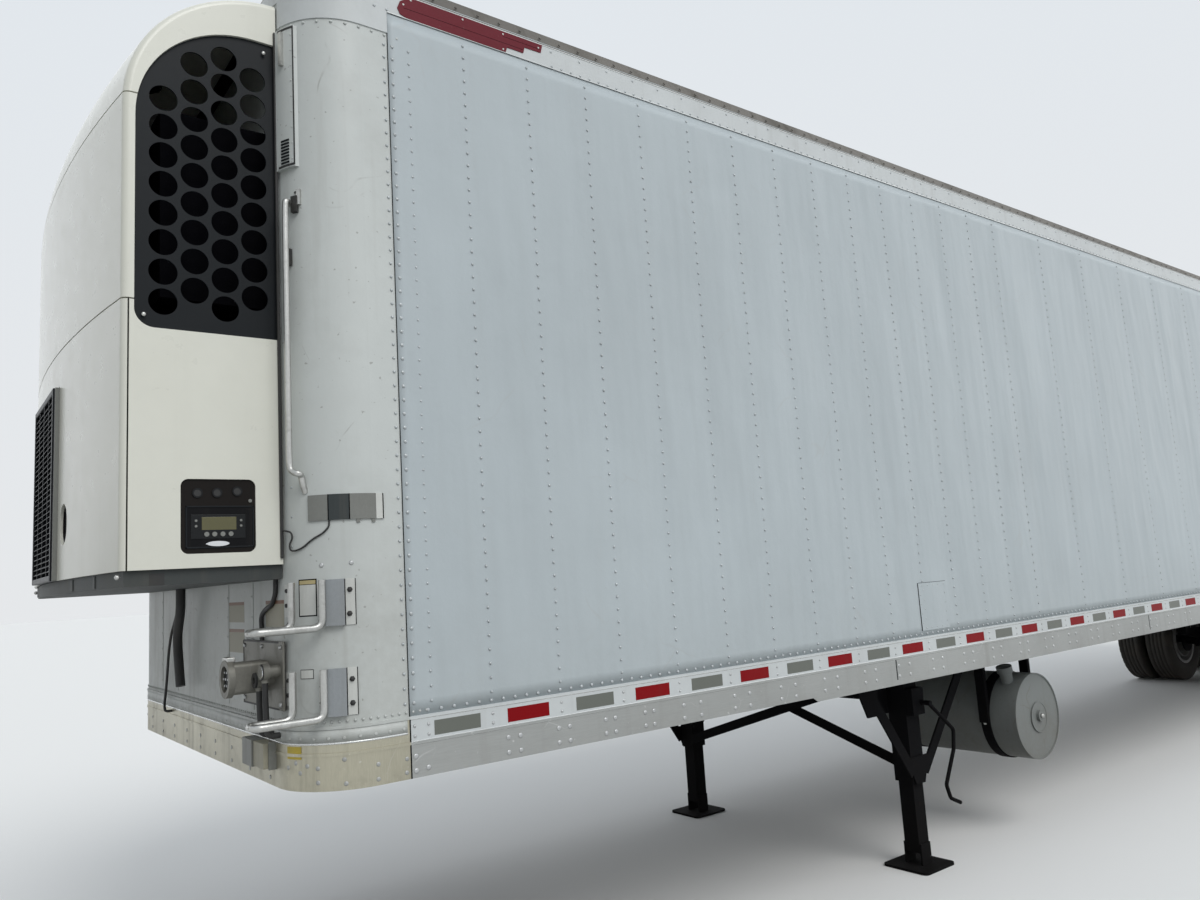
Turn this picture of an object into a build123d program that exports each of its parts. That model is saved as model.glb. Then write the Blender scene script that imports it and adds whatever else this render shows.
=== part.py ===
from build123d import *
import os
from math import atan2, cos, degrees, radians, sin, tan

# Refrigerated box semi trailer, in millimetres.
# +X is forward, +Y is the road side, +Z is up, and Z = 0 is the ground.
# Places along the trailer are written as distances from the nose wall's flat face,
# forward positive, and at() turns them into the model's frame.

# Box
BODY_LENGTH = 16154.0
BODY_WIDTH = 2591.0
ROOF_TOP = 4115.0
RAIL_BOTTOM = 1111.0
RAIL_HEIGHT = 206.0
RAIL_BEAD_RISE = 116.0
BEAD = 5.0
# Behind this place the bottom rail's plate is deeper
RAIL_STEP_SETBACK = 2475.0
RAIL_STEP = 20.0
CANT_HEIGHT = 72.0
TOP_RAIL_HEIGHT = 98.0
NOSE_BAND_HEIGHT = 84.0
SHEET_INSET = 7.0
RAIL_PLATE = 4.0
WALL = 63.5
NOSE_WALL = 100.0
ROOF_THICKNESS = 60.0
ROOF_CAMBER = 11.0
FLOOR_THICKNESS = 120.0
DUCT_PITCH = 52.0
DUCT_WIDTH = 26.0
DUCT_DEPTH = 34.0
CORNER_RADIUS = 250.0
CORNER_SEAM = 360.0
CANT_WIDTH = 27.0

# Under the floor
BEAM_DEPTH = 101.6
BEAM_WIDTH = 57.0
BEAM_WEB = 5.0
BEAM_PITCH = 304.8
COUPLER_LENGTH = 1750.0
COUPLER_PLATE = 10.0
COUPLER_DROP = 6.0
KINGPIN_SETBACK = 914.0
KINGPIN_SHOULDER_RADIUS = 36.5
KINGPIN_NECK_RADIUS = 25.4
KINGPIN_COLLAR_RADIUS = 35.7
KINGPIN_SHOULDER = 35.0
KINGPIN_NECK = 35.0
KINGPIN_COLLAR = 14.0

# Refrigeration unit on the nose
UNIT_MARGIN = 197.5
UNIT_DEPTH = 590.0
UNIT_BOTTOM = 1862.0
UNIT_DROP = 165.0
UNIT_CROWN = 84.0
UNIT_TOP_RADIUS = 520.0
UNIT_EDGE_RADIUS = 24.0
UNIT_SKIN = 10.0
UNIT_FRAME = 28.0
UNIT_FRAME_WIDTH = 40.0
UPRIGHT_Y = 400.0
HOOD_SEAM_DROP = 490.0
DOOR_HEIGHT = 881.0
DOOR_FRONT = 485.0
SEAM = 5.0
GRILLE_FRONT = 471.0
GRILLE_LAP_HEIGHT = 89.0
GRILLE_DROP = 169.0
GRILLE_CORNER = 390.0
GRILLE_LOW_CORNER = 62.0
GRILLE_THICKNESS = 6.0
GRILLE_LAP = 12.0
HOLE_RADIUS = 45.5
HOLE_PITCH = 103.3
HOLE_COLUMN_PITCH = 99.8
HOLE_FIRST_COLUMN = 82.5
HOLE_RISE = 95.0
HOLE_RIM = 20.0
# Rise of each column's first hole, in pitches, from the wall forward
HOLE_COLUMNS = (0.5, 0.0, 0.5, 0.0)
COIL_DEPTH = 380.0
COIL_GAP = 70.0
TRAY_DEPTH = 50.0
TRAY_INSET = 15.0
CENTRE_GRILLE_WIDTH = 580.0
CENTRE_GRILLE_HEIGHT = 738.0
CENTRE_GRILLE_PROUD = 16.0
# Control panel: ends ahead of the wall, rise above the unit's bottom and height
PANEL_ENDS = (91.0, 330.0)
PANEL_RISE = 46.0
PANEL_HEIGHT = 246.0
PANEL_CORNER = 25.0
LATCH_HOLE_Y = 410.0
LATCH_HOLE_RISE = 202.0
LATCH_HOLE_LENGTH = 150.0
LATCH_HOLE_WIDTH = 118.0

# Rear frame and doors
FRAME_DEPTH = 90.0
POST_WIDTH = 74.0
DOOR_GAP = 6.0
DOOR_MIDDLE_GAP = 12.0
SILL_LIP = 0.4
HEADER_HEIGHT = 166.0
HINGE_OFFSET = 45.0
HINGE_INSET = 15.5
HINGE_RADIUS = 13.0
HINGE_PIN_RADIUS = 7.0
HINGE_HEIGHT = 60.0
HINGE_CLEARANCE = 0.3
HINGE_COUNT = 4
HINGE_END = 222.0
ROD_RADIUS = 13.5
ROD_STANDOFF = 32.0
# Lock rods: distance in from the post, handle's rise above the sill and the way it lies
RODS = ((330.0, 517.0, -1), (900.0, 647.0, 1))
# Rod clamps, as shares of the door opening's height
ROD_CLAMPS = (0.03, 0.22, 0.51, 0.76, 0.97)
HANDLE_LENGTH = 420.0
KEEPER_RISE = 52.0
BUMPER_INSET = 155.5
BUMPER_DEPTH = 75.0

# Landing gear and tank
LEG_SETBACK = 3655.0
LEG_SPREAD = 922.0
LEG_WIDTH = 120.0
LEG_SLEEVE_LENGTH = 647.0
LEG_TUBE_WIDTH = 95.0
WING_THICKNESS = 12.0
FOOT_SIZE = 290.0
FOOT_THICKNESS = 14.0
BRACE_DROP = 591.0
# How far the two braces reach ahead of and behind the leg
BRACE_REACHES = (440.0, -560.0)
TANK_SETBACK = 4730.0
TANK_DROP = 411.0
TANK_RADIUS = 265.0
TANK_END = 1150.0
TANK_LENGTH = 960.0

# Running gear
REAR_AXLE_SETBACK = 13104.0
AXLE_SPACING = 1245.0
TYRE_RADIUS = 503.0
TYRE_WIDTH = 282.0
RIM_RADIUS = 286.0
DUAL_INSET = 311.5
DUAL_SPACING = 330.0
AXLE_RADIUS = 63.5
SPINDLE_RADIUS = 45.0
SPINDLE_CLEARANCE = 0.1
AXLE_TUBE_INSET = 344.0
SPINDLE_REACH = 116.0
DRUM_RADIUS = 215.0
DISC_THICKNESS = 11.0
HAND_HOLES = 10
HAND_HOLE_CIRCLE = 242.0
HAND_HOLE_RADIUS = 19.0
FRAME_SPREAD = 480.0
SLIDER_DEPTH = 110.0
SUBFRAME_DEPTH = 110.0
HANGER_LEAD = 520.0
BAG_TRAIL = 400.0
BAG_RADIUS = 125.0
PIVOT_RISE = 152.0
SLIDER_FRONT = 10200.0
FLAP_TRAIL = 640.0
FLAP_CLEARANCE = 260.0
GUARD_HEIGHT = 500.0
GUARD_SIZE = 100.0

# Lamps at the rear
LAMP_DEPTH = 20.0
TAIL_LAMP_RADIUS = 44.0
TAIL_LAMP_YS = (-900.0, -800.0, -700.0, 700.0, 800.0, 900.0)
MARKER_LAMP_RADIUS = 32.0
MARKER_LAMP_YS = (-1160.0, -150.0, 0.0, 150.0, 1160.0)

# Nose fittings
# Rise of each step above the bottom rail
STEP_RISES = (324.0, 29.0)
STEP_REACH = 150.0
STEP_TUBE_RADIUS = 12.0
GRAB_STANDOFF = 45.0
GRAB_RISES = (250.0, 1288.0)
GRAB_RADIUS = 15.0
HATCH_PROUD = 14.0
HATCH_WIDTH = 82.0
HATCH_HEIGHT = 547.0
STRIP_RISES = (138.0, 226.0)
# Service plate: Y of its sides, rise of its ends above the bottom rail, and thickness
PLATE_YS = (660.0, 1105.0)
PLATE_RISES = (53.0, 283.0)
PLATE_THICKNESS = 10.0
SOCKET_Y = 900.0
SOCKET_RISE = 163.0
SOCKET_REACH = 125.0
SOCKET_RADIUS = 65.0
COUPLING_YS = (1000.0, 1066.0)
COUPLING_RISE = 156.0
COUPLING_RADIUS = 28.0

HALF = BODY_WIDTH / 2
SHEET = HALF - SHEET_INSET
RAIL_FACE = HALF - (SHEET_INSET - RAIL_PLATE)
INNER = SHEET - WALL
RAIL_BEAD = RAIL_BOTTOM + RAIL_BEAD_RISE
RAIL_TOP = RAIL_BOTTOM + RAIL_HEIGHT
FRAME_TOP = RAIL_BOTTOM + 6.0
BEAM_TOP = RAIL_BOTTOM + BEAM_DEPTH
FLOOR_TOP = BEAM_TOP + FLOOR_THICKNESS
ROOF_SPAN = HALF - SHEET_INSET - CANT_WIDTH
ROOF_SIDE = ROOF_TOP - ROOF_CAMBER
ROOF_BOTTOM = ROOF_SIDE - ROOF_THICKNESS
TOP_RAIL_FLANGE = ROOF_SIDE - CANT_HEIGHT
TOP_RAIL_BOTTOM = TOP_RAIL_FLANGE - TOP_RAIL_HEIGHT
NOSE_BAND_BOTTOM = TOP_RAIL_BOTTOM - NOSE_BAND_HEIGHT
REAR = -BODY_LENGTH
WALL_END = REAR + FRAME_DEPTH
SILL_TOP = FLOOR_TOP + SILL_LIP
HEADER_BOTTOM = ROOF_SIDE - HEADER_HEIGHT
HINGE_PITCH = (HEADER_BOTTOM - SILL_TOP - 2 * HINGE_END) / (HINGE_COUNT - 1)
HINGE_ZS = [SILL_TOP + HINGE_END + HINGE_PITCH * number for number in range(HINGE_COUNT)]
PIVOT_HEIGHT = TYRE_RADIUS + PIVOT_RISE
UNIT_TOP = ROOF_TOP - UNIT_DROP
HOOD_SEAM = UNIT_TOP - HOOD_SEAM_DROP
DOOR_SEAM = UNIT_BOTTOM + DOOR_HEIGHT
GRILLE_BOTTOM = DOOR_SEAM - GRILLE_LAP_HEIGHT
GRILLE_TOP = UNIT_TOP - GRILLE_DROP
CENTRE_GRILLE_TOP = UNIT_BOTTOM + CENTRE_GRILLE_HEIGHT
UNIT_HALF = HALF - UNIT_MARGIN
DUAL_CENTRE = HALF - DUAL_INSET
AXLE_TUBE_END = DUAL_CENTRE - AXLE_TUBE_INSET
SPINDLE_END = DUAL_CENTRE + SPINDLE_REACH
UNIT_CROWN_RADIUS = (UNIT_HALF**2 + UNIT_CROWN**2) / (2 * UNIT_CROWN)
UNIT_FRONT = UNIT_DEPTH + CENTRE_GRILLE_PROUD
NOSE_X = (BODY_LENGTH + BUMPER_DEPTH + UNIT_FRONT) / 2 - UNIT_FRONT

os.makedirs("parts", exist_ok=True)


def at(distance):
    """The model's X of a place that many millimetres ahead of the nose wall."""
    return NOSE_X + distance


def save(node, *pieces):
    """Write one node, as one solid or as the solids that share it."""
    solids = [solid for piece in pieces for solid in piece.solids()]
    shape = solids[0] if len(solids) == 1 else Compound(solids)
    shape.label = node
    export_step(shape, f"parts/{node}.step")


def outline(corners):
    """A flat outline from corners (u, v) or (u, v, radius)."""
    face = make_face(Polyline(*[corner[:2] for corner in corners], close=True)).face()
    for corner in corners:
        if len(corner) > 2 and corner[2] > 0:
            spot = Vector(corner[0], corner[1], 0)
            vertex = min(face.vertices(), key=lambda v: (Vector(*v.center()) - spot).length)
            face = face.fillet_2d(corner[2], [vertex])
    return face


def across_x(corners, low, high):
    """An outline of (Y, Z) corners, extruded from X = low to X = high."""
    return extrude(Plane.YZ.offset(low) * outline(corners), high - low)


def across_y(corners, low, high):
    """An outline of (X, Z) corners, extruded from Y = low to Y = high."""
    return extrude(Plane.XZ.offset(-high) * outline(corners), high - low)


def across_z(corners, low, high):
    """An outline of (X, Y) corners, extruded from Z = low to Z = high."""
    return extrude(Plane.XY.offset(low) * outline(corners), high - low)


def block(x, y, z):
    """A plain block between two X, two Y and two Z values."""
    size = (abs(x[1] - x[0]), abs(y[1] - y[0]), abs(z[1] - z[0]))
    middle = (sum(x) / 2, sum(y) / 2, sum(z) / 2)
    return Pos(*middle) * Box(*size)


def bar(start, end, radius):
    """A round bar from one point to another."""
    start, end = Vector(*start), Vector(*end)
    plane = Plane(origin=start, z_dir=end - start)
    return extrude(plane * Circle(radius), (end - start).length)


def flat_bar(start, end, width, thickness, face=(1, 0, 0)):
    """A rectangular bar from one point to another, its thickness along face."""
    start, end = Vector(*start), Vector(*end)
    plane = Plane(origin=start, x_dir=Vector(*face), z_dir=end - start)
    return extrude(plane * Rectangle(thickness, width), (end - start).length)


def tube_path(points, radius, bend):
    """A round tube along straight runs joined by bends."""
    path = FilletPolyline(*points, radius=bend)
    start = Plane(origin=path @ 0, z_dir=path % 0)
    return sweep(start * Circle(radius), path=path)


def mirrored(piece):
    """The same piece on the other side of the trailer."""
    return mirror(piece, about=Plane.XZ)


def turned_about_y(profile_corners):
    """A solid of revolution about Y from (Y, radius) corners."""
    face = outline([(radius, y) + tuple(rest) for y, radius, *rest in profile_corners])
    plane = Plane(origin=(0, 0, 0), x_dir=(0, 0, -1), z_dir=(1, 0, 0))
    return revolve(plane * face, Axis.Y)


def corner_x(y):
    """How far the nose sheet's rounded corner lies ahead of the flat face, at a distance out."""
    out = max(0.0, abs(y) - (SHEET - CORNER_RADIUS))
    return (CORNER_RADIUS**2 - out**2) ** 0.5 - CORNER_RADIUS


def inner_plan(rear):
    """The load space's plan, back to rear."""
    return [
        (at(rear), -INNER),
        (at(-NOSE_WALL), -INNER, CORNER_RADIUS - NOSE_WALL),
        (at(-NOSE_WALL), INNER, CORNER_RADIUS - NOSE_WALL),
        (at(rear), INNER),
    ]


def box_plan(grow, rear):
    """The box's plan, grown by a distance from the side sheets, back to rear."""
    half = SHEET + grow
    radius = CORNER_RADIUS + grow
    return [
        (at(rear), -half),
        (at(grow), -half, radius),
        (at(grow), half, radius),
        (at(rear), half),
    ]


# Box panels
def nose_wall():
    outer = across_z(box_plan(0, -CORNER_SEAM), BEAM_TOP, ROOF_BOTTOM)
    return outer - across_z(inner_plan(-CORNER_SEAM - 1), BEAM_TOP - 1, ROOF_BOTTOM + 1)


def side_wall():
    return block((at(WALL_END), at(-CORNER_SEAM)), (INNER, SHEET), (BEAM_TOP, ROOF_BOTTOM))


def floor_deck():
    """The floor with its air ducts, open at the top and running the whole length."""
    deck = across_z(inner_plan(WALL_END), BEAM_TOP, FLOOR_TOP)
    rib = DUCT_PITCH - DUCT_WIDTH
    count = int((INNER - rib) / DUCT_PITCH)
    bed = FLOOR_TOP - DUCT_DEPTH
    section = [(-INNER - 1, BEAM_TOP - 1), (-INNER - 1, bed)]
    for number in range(-count, count + 1):
        left, right = number * DUCT_PITCH - rib / 2, number * DUCT_PITCH + rib / 2
        section += [(left, bed), (left, FLOOR_TOP + 1), (right, FLOOR_TOP + 1), (right, bed)]
    section += [(INNER + 1, bed), (INNER + 1, BEAM_TOP - 1)]
    return deck & across_x(section, at(WALL_END) - 1, at(1))


def roof_panel():
    radius = (ROOF_SPAN**2 + ROOF_CAMBER**2) / (2 * ROOF_CAMBER)
    sheet = across_z(box_plan(-CANT_WIDTH, WALL_END), ROOF_BOTTOM, ROOF_TOP + 10)
    camber = bar((at(REAR), 0, ROOF_TOP - radius), (at(100), 0, ROOF_TOP - radius), radius)
    return sheet & camber


def top_rails():
    """The rail round the nose and the one along each side, each a solid of its own."""
    proud = RAIL_PLATE
    flange = across_z(box_plan(proud, WALL_END), TOP_RAIL_BOTTOM, TOP_RAIL_FLANGE)
    front = across_z(box_plan(proud, -CORNER_SEAM), NOSE_BAND_BOTTOM, TOP_RAIL_BOTTOM)
    plan = Plane.XY.offset(TOP_RAIL_FLANGE) * outline(box_plan(proud, WALL_END - 200))
    lean = degrees(atan2(CANT_WIDTH + proud, ROOF_SIDE - TOP_RAIL_FLANGE))
    cap = extrude(plan, ROOF_SIDE - TOP_RAIL_FLANGE, taper=lean)
    cap = cap & block((at(WALL_END), at(50)), (-HALF, HALF), (TOP_RAIL_FLANGE, ROOF_SIDE))
    walls = across_z(box_plan(0, WALL_END - 1), NOSE_BAND_BOTTOM - 1, ROOF_BOTTOM)
    roof = across_z(box_plan(-CANT_WIDTH, WALL_END - 1), ROOF_BOTTOM - 1, ROOF_TOP + 1)
    notch = block(
        (at(-10), at(50)), (-UNIT_HALF - SEAM, UNIT_HALF + SEAM), (NOSE_BAND_BOTTOM - 1, UNIT_TOP + SEAM)
    )
    rails = flange + front + cap - walls - roof - notch
    seam, end = at(-CORNER_SEAM), at(WALL_END) - 1
    heights = (NOSE_BAND_BOTTOM, ROOF_SIDE)
    nose = rails & block((seam, at(50)), (-HALF, HALF), heights)
    side = rails & block((end, seam), (0, HALF), heights)
    return [nose, side, mirrored(side)]


def rail_section():
    """(Y, Z) corners of the bottom rail: plate, two beads and an inner foot."""
    foot = 70.0
    return [
        (SHEET, RAIL_TOP),
        (SHEET, FRAME_TOP),
        (SHEET - foot, FRAME_TOP),
        (SHEET - foot, RAIL_BOTTOM),
        (RAIL_FACE, RAIL_BOTTOM),
        (RAIL_FACE, RAIL_BEAD - BEAD),
        (HALF, RAIL_BEAD - BEAD),
        (HALF, RAIL_BEAD + BEAD),
        (RAIL_FACE, RAIL_BEAD + BEAD),
        (RAIL_FACE, RAIL_TOP - 2 * BEAD),
        (HALF, RAIL_TOP - 2 * BEAD),
        (HALF, RAIL_TOP),
    ]


def bottom_rail():
    """The rail along one side, with the deeper plate that starts ahead of the landing legs."""
    rail = across_x(rail_section(), at(WALL_END), at(-CORNER_SEAM))
    step = [
        (at(WALL_END), RAIL_BOTTOM - RAIL_STEP),
        (at(-RAIL_STEP_SETBACK), RAIL_BOTTOM - RAIL_STEP),
        (at(-RAIL_STEP_SETBACK + 1.5 * RAIL_STEP), RAIL_BOTTOM + 1),
        (at(WALL_END), RAIL_BOTTOM + 1),
    ]
    return rail + across_y(step, SHEET, RAIL_FACE)


def nose_band():
    skirt = across_z(box_plan(RAIL_PLATE, -CORNER_SEAM), RAIL_BOTTOM, RAIL_TOP)
    for low, high in ((RAIL_BEAD - BEAD, RAIL_BEAD + BEAD), (RAIL_TOP - 2 * BEAD, RAIL_TOP)):
        skirt = skirt + across_z(box_plan(SHEET_INSET, -CORNER_SEAM), low, high)
    inside = across_z(box_plan(0, -CORNER_SEAM - 1), RAIL_BOTTOM - 1, RAIL_TOP + 1)
    return skirt - inside


def crossmembers():
    beams = []
    half, web, flange = BEAM_WIDTH / 2, BEAM_WEB / 2, 6.0
    low, high = FRAME_TOP, BEAM_TOP
    count = int((BODY_LENGTH - COUPLER_LENGTH - 200) / BEAM_PITCH)
    for number in range(count):
        x = at(-COUPLER_LENGTH - BEAM_PITCH * (number + 0.5))
        section = [
            (x - half, low),
            (x + half, low),
            (x + half, low + flange),
            (x + web, low + flange),
            (x + web, high - flange),
            (x + half, high - flange),
            (x + half, high),
            (x - half, high),
            (x - half, high - flange),
            (x - web, high - flange),
            (x - web, low + flange),
            (x - half, low + flange),
        ]
        beams.append(across_y(section, -SHEET, SHEET))
    return beams


def upper_coupler():
    half = SHEET - 90.0
    plate_top = RAIL_BOTTOM + COUPLER_DROP + COUPLER_PLATE
    plate = block((at(-COUPLER_LENGTH), at(-30)), (-half, half), (plate_top - COUPLER_PLATE, plate_top))
    channels = plate
    for setback in (60.0, 480.0, 800.0, 1030.0, 1380.0, COUPLER_LENGTH - 60.0):
        channels = channels + block(
            (at(-setback - 30), at(-setback + 30)), (-half, half), (plate_top, BEAM_TOP)
        )
    x = at(-KINGPIN_SETBACK)
    top = plate_top - COUPLER_PLATE
    pin = bar((x, 0, top + 5), (x, 0, top - KINGPIN_SHOULDER), KINGPIN_SHOULDER_RADIUS)
    neck = top - KINGPIN_SHOULDER
    pin = pin + bar((x, 0, neck), (x, 0, neck - KINGPIN_NECK), KINGPIN_NECK_RADIUS)
    collar = neck - KINGPIN_NECK
    pin = pin + bar((x, 0, collar), (x, 0, collar - KINGPIN_COLLAR), KINGPIN_COLLAR_RADIUS)
    corner = across_z(box_plan(-RAIL_PLATE, -COUPLER_LENGTH - 10), RAIL_BOTTOM, BEAM_TOP + 1)
    return (channels & corner) + pin


# Refrigeration unit
def hood_form(inset):
    """The unit's outer form, made smaller by inset: crowned front, and edges rounded where room is left."""
    front, top = UNIT_DEPTH - inset, UNIT_TOP - inset
    profile = outline(
        [
            (-300.0, UNIT_BOTTOM),
            (front, UNIT_BOTTOM),
            (front, top, UNIT_TOP_RADIUS - inset),
            (-300.0, top),
        ]
    )
    axis_x = at(UNIT_DEPTH - UNIT_CROWN_RADIUS)
    section = Pos(at(0), 0, 0) * (Plane.XZ * profile)
    spread = 2 * degrees(atan2(UNIT_HALF, UNIT_CROWN_RADIUS))
    left = revolve(section, Axis((axis_x, 0, 0), (0, 0, 1)), revolution_arc=spread)
    right = revolve(section, Axis((axis_x, 0, 0), (0, 0, -1)), revolution_arc=spread)
    half = UNIT_HALF - inset
    form = (left + right) & block((at(0), at(700)), (-half, half), (UNIT_BOTTOM, UNIT_TOP))
    if inset >= UNIT_EDGE_RADIUS:
        return form
    edges = [
        edge
        for edge in form.edges()
        if abs(abs(edge.center().Y) - half) < 1
        and edge.bounding_box().min.Z > UNIT_BOTTOM - 1
        and edge.bounding_box().max.Z > UNIT_BOTTOM + 10
        and edge.bounding_box().max.X > at(10)
        and edge.length > 50
    ]
    return fillet(edges, UNIT_EDGE_RADIUS - inset)


def grille_outline(grow):
    """(X, Z) corners of the side grille, grown by a distance."""
    return [
        (at(-30), GRILLE_BOTTOM - grow),
        (at(GRILLE_FRONT + grow), GRILLE_BOTTOM - grow, GRILLE_LOW_CORNER + grow),
        (at(GRILLE_FRONT + grow), GRILLE_TOP + grow, GRILLE_CORNER + grow),
        (at(-30), GRILLE_TOP + grow),
    ]


def column_top(place):
    """The highest centre of a hole that far ahead of the wall, clear of the grille's rim."""
    reach = GRILLE_CORNER - HOLE_RADIUS - HOLE_RIM
    into_corner = max(0.0, place - (GRILLE_FRONT - GRILLE_CORNER))
    return GRILLE_TOP - GRILLE_CORNER + (reach**2 - min(into_corner, reach) ** 2) ** 0.5


def side_grille():
    outer = UNIT_HALF - UNIT_SKIN
    plate = across_y(grille_outline(GRILLE_LAP), outer - GRILLE_THICKNESS, outer)
    plate = plate & block((at(0), at(600)), (0, UNIT_HALF), (0, UNIT_TOP))
    holes = []
    for column, rise in enumerate(HOLE_COLUMNS):
        place = HOLE_FIRST_COLUMN + column * HOLE_COLUMN_PITCH
        z = GRILLE_BOTTOM + HOLE_RISE + rise * HOLE_PITCH
        while z <= column_top(place):
            holes.append(bar((at(place), outer - 30, z), (at(place), outer + 30, z), HOLE_RADIUS))
            z += HOLE_PITCH
    return plate - holes


def latch_hole():
    """The oval hand hole in the front door, in front of its latch."""
    slot = Rot(0, 0, 90) * SlotOverall(LATCH_HOLE_LENGTH, LATCH_HOLE_WIDTH)
    place = Plane(
        origin=(at(300), LATCH_HOLE_Y, UNIT_BOTTOM + LATCH_HOLE_RISE), x_dir=(0, 1, 0), z_dir=(1, 0, 0)
    )
    return extrude(place * slot, 400)


def unit_pieces():
    outer = hood_form(0)
    inner = hood_form(UNIT_SKIN)
    shell = outer - inner
    half = UNIT_HALF
    for side in (-1, 1):
        window = across_y(grille_outline(0), half - 60, half + 10)
        shell = shell - (window if side > 0 else mirrored(window))
    wide = (-half - 10, half + 10)
    cap = shell & block((at(0), at(700)), wide, (HOOD_SEAM + SEAM, UNIT_TOP + 10))
    middle = shell & block((at(0), at(700)), wide, (DOOR_SEAM + SEAM, HOOD_SEAM))
    low = shell & block((at(0), at(700)), wide, (UNIT_BOTTOM, DOOR_SEAM))
    side_doors = low & block((at(0), at(DOOR_FRONT)), wide, (UNIT_BOTTOM, DOOR_SEAM))
    front = low & block((at(DOOR_FRONT + SEAM), at(700)), wide, (UNIT_BOTTOM, DOOR_SEAM))
    centre = CENTRE_GRILLE_WIDTH / 2
    front_doors = front - block(
        (at(300), at(700)), (-centre - SEAM, centre + SEAM), (UNIT_BOTTOM - 1, CENTRE_GRILLE_TOP + SEAM)
    )
    front_doors = front_doors - latch_hole()
    low, high = UNIT_BOTTOM + PANEL_RISE, UNIT_BOTTOM + PANEL_RISE + PANEL_HEIGHT
    back, ahead = PANEL_ENDS
    panel = across_y(
        [
            (at(back), low, PANEL_CORNER),
            (at(ahead), low, PANEL_CORNER),
            (at(ahead), high, PANEL_CORNER),
            (at(back), high, PANEL_CORNER),
        ],
        half - 200,
        half + 10,
    )
    side_doors = side_doors - panel
    plate = panel & block((at(0), at(700)), (half - UNIT_SKIN - 8, half - UNIT_SKIN + 4), (0, UNIT_TOP))
    return cap, middle, side_doors, front_doors, plate


def unit_frame():
    """Strips behind the seams, and the ring that sits on the nose wall."""
    ring = hood_form(UNIT_SKIN) - hood_form(UNIT_SKIN + UNIT_FRAME)
    half = UNIT_HALF
    wide = (-half, half)
    strip = UNIT_FRAME_WIDTH / 2
    x = at(DOOR_FRONT)
    frame = block((at(0), at(UNIT_FRAME_WIDTH)), wide, (UNIT_BOTTOM, UNIT_TOP))
    frame = frame + block((x - strip, x + strip), wide, (UNIT_BOTTOM, DOOR_SEAM))
    frame = frame + block((at(250), at(700)), wide, (HOOD_SEAM - strip, HOOD_SEAM + strip))
    for z in (UNIT_BOTTOM + strip, DOOR_SEAM):
        frame = frame + block((at(0), at(700)), wide, (z - strip, z + strip))
    for y in (-UPRIGHT_Y, UPRIGHT_Y):
        frame = frame + block((at(250), at(700)), (y - strip, y + strip), (UNIT_BOTTOM, UNIT_TOP))
    grille = across_y(grille_outline(GRILLE_LAP + 1), UNIT_HALF - UNIT_SKIN - 60, UNIT_HALF)
    return ring & (frame - grille - mirrored(grille))


def centre_grille():
    shell = hood_form(-CENTRE_GRILLE_PROUD) - hood_form(UNIT_SKIN)
    half = CENTRE_GRILLE_WIDTH / 2
    return shell & block((at(300), at(700)), (-half, half), (UNIT_BOTTOM, CENTRE_GRILLE_TOP))


def base_tray():
    half = UNIT_HALF - TRAY_INSET
    low, high = UNIT_BOTTOM - TRAY_DEPTH, UNIT_BOTTOM
    axis_x = at(UNIT_DEPTH - UNIT_CROWN_RADIUS)
    crown = bar((axis_x, 0, low - 1), (axis_x, 0, high + 1), UNIT_CROWN_RADIUS - TRAY_INSET)
    return block((at(0), at(700)), (-half, half), (low, high)) & crown


def engine_block():
    return block((at(60), at(430)), (-560, 560), (UNIT_BOTTOM, UNIT_BOTTOM + 560))


def coil():
    """The plain block of the coil that shows through the side grilles, on the nose wall."""
    half = UNIT_HALF - COIL_GAP
    return block((at(0), at(COIL_DEPTH)), (-half, half), (DOOR_SEAM + UNIT_FRAME_WIDTH, HOOD_SEAM))


# Rear frame and doors
def rear_post():
    """The post at the road side, with the lugs and pins of its hinges."""
    inner = HALF - POST_WIDTH
    post = block((at(REAR), at(WALL_END)), (inner, HALF), (RAIL_BOTTOM, ROOF_SIDE))
    pin_x, pin_y = at(REAR) - HINGE_OFFSET, HALF - HINGE_INSET
    reach = HINGE_HEIGHT / 2 + 8
    for z in HINGE_ZS:
        for level in (-1, 1):
            start = z + level * (HINGE_HEIGHT / 2 + 1)
            end = start + level * 14
            lug = across_z(
                [
                    (at(REAR) + 1, pin_y - HINGE_RADIUS),
                    (at(REAR) + 1, pin_y + HINGE_RADIUS),
                    (pin_x - HINGE_RADIUS, pin_y + HINGE_RADIUS, 10),
                    (pin_x - HINGE_RADIUS, pin_y - HINGE_RADIUS, 10),
                ],
                min(start, end),
                max(start, end),
            )
            post = post + lug
        post = post + bar((pin_x, pin_y, z - reach), (pin_x, pin_y, z + reach), HINGE_PIN_RADIUS)
    return post


def cross_piece(low, high, keeper_z):
    """The sill or the header between the posts, with the keepers of the lock rods."""
    inner = HALF - POST_WIDTH
    beam = block((at(REAR), at(WALL_END)), (-inner, inner), (low, high))
    for place, _, _ in RODS:
        for y in (inner - place, place - inner):
            for near, far in ((34, 44), (-44, -34)):
                ear = block((at(REAR) - 46, at(REAR) + 1), (y + near, y + far), (keeper_z - 25, keeper_z + 25))
                beam = beam + ear
    return beam


def rear_frame():
    """Posts, sill with its dock bumpers, and header."""
    post = rear_post()
    header = cross_piece(HEADER_BOTTOM, ROOF_SIDE, HEADER_BOTTOM + KEEPER_RISE)
    sill = cross_piece(RAIL_BOTTOM, SILL_TOP, SILL_TOP - KEEPER_RISE)
    for y in (BUMPER_INSET - HALF, HALF - BUMPER_INSET):
        sill = sill + block(
            (at(REAR) - BUMPER_DEPTH, at(REAR) + 1), (y - 80, y + 80), (RAIL_BOTTOM + 20, RAIL_BOTTOM + 130)
        )
    return [post, mirrored(post), header, sill]


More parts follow.
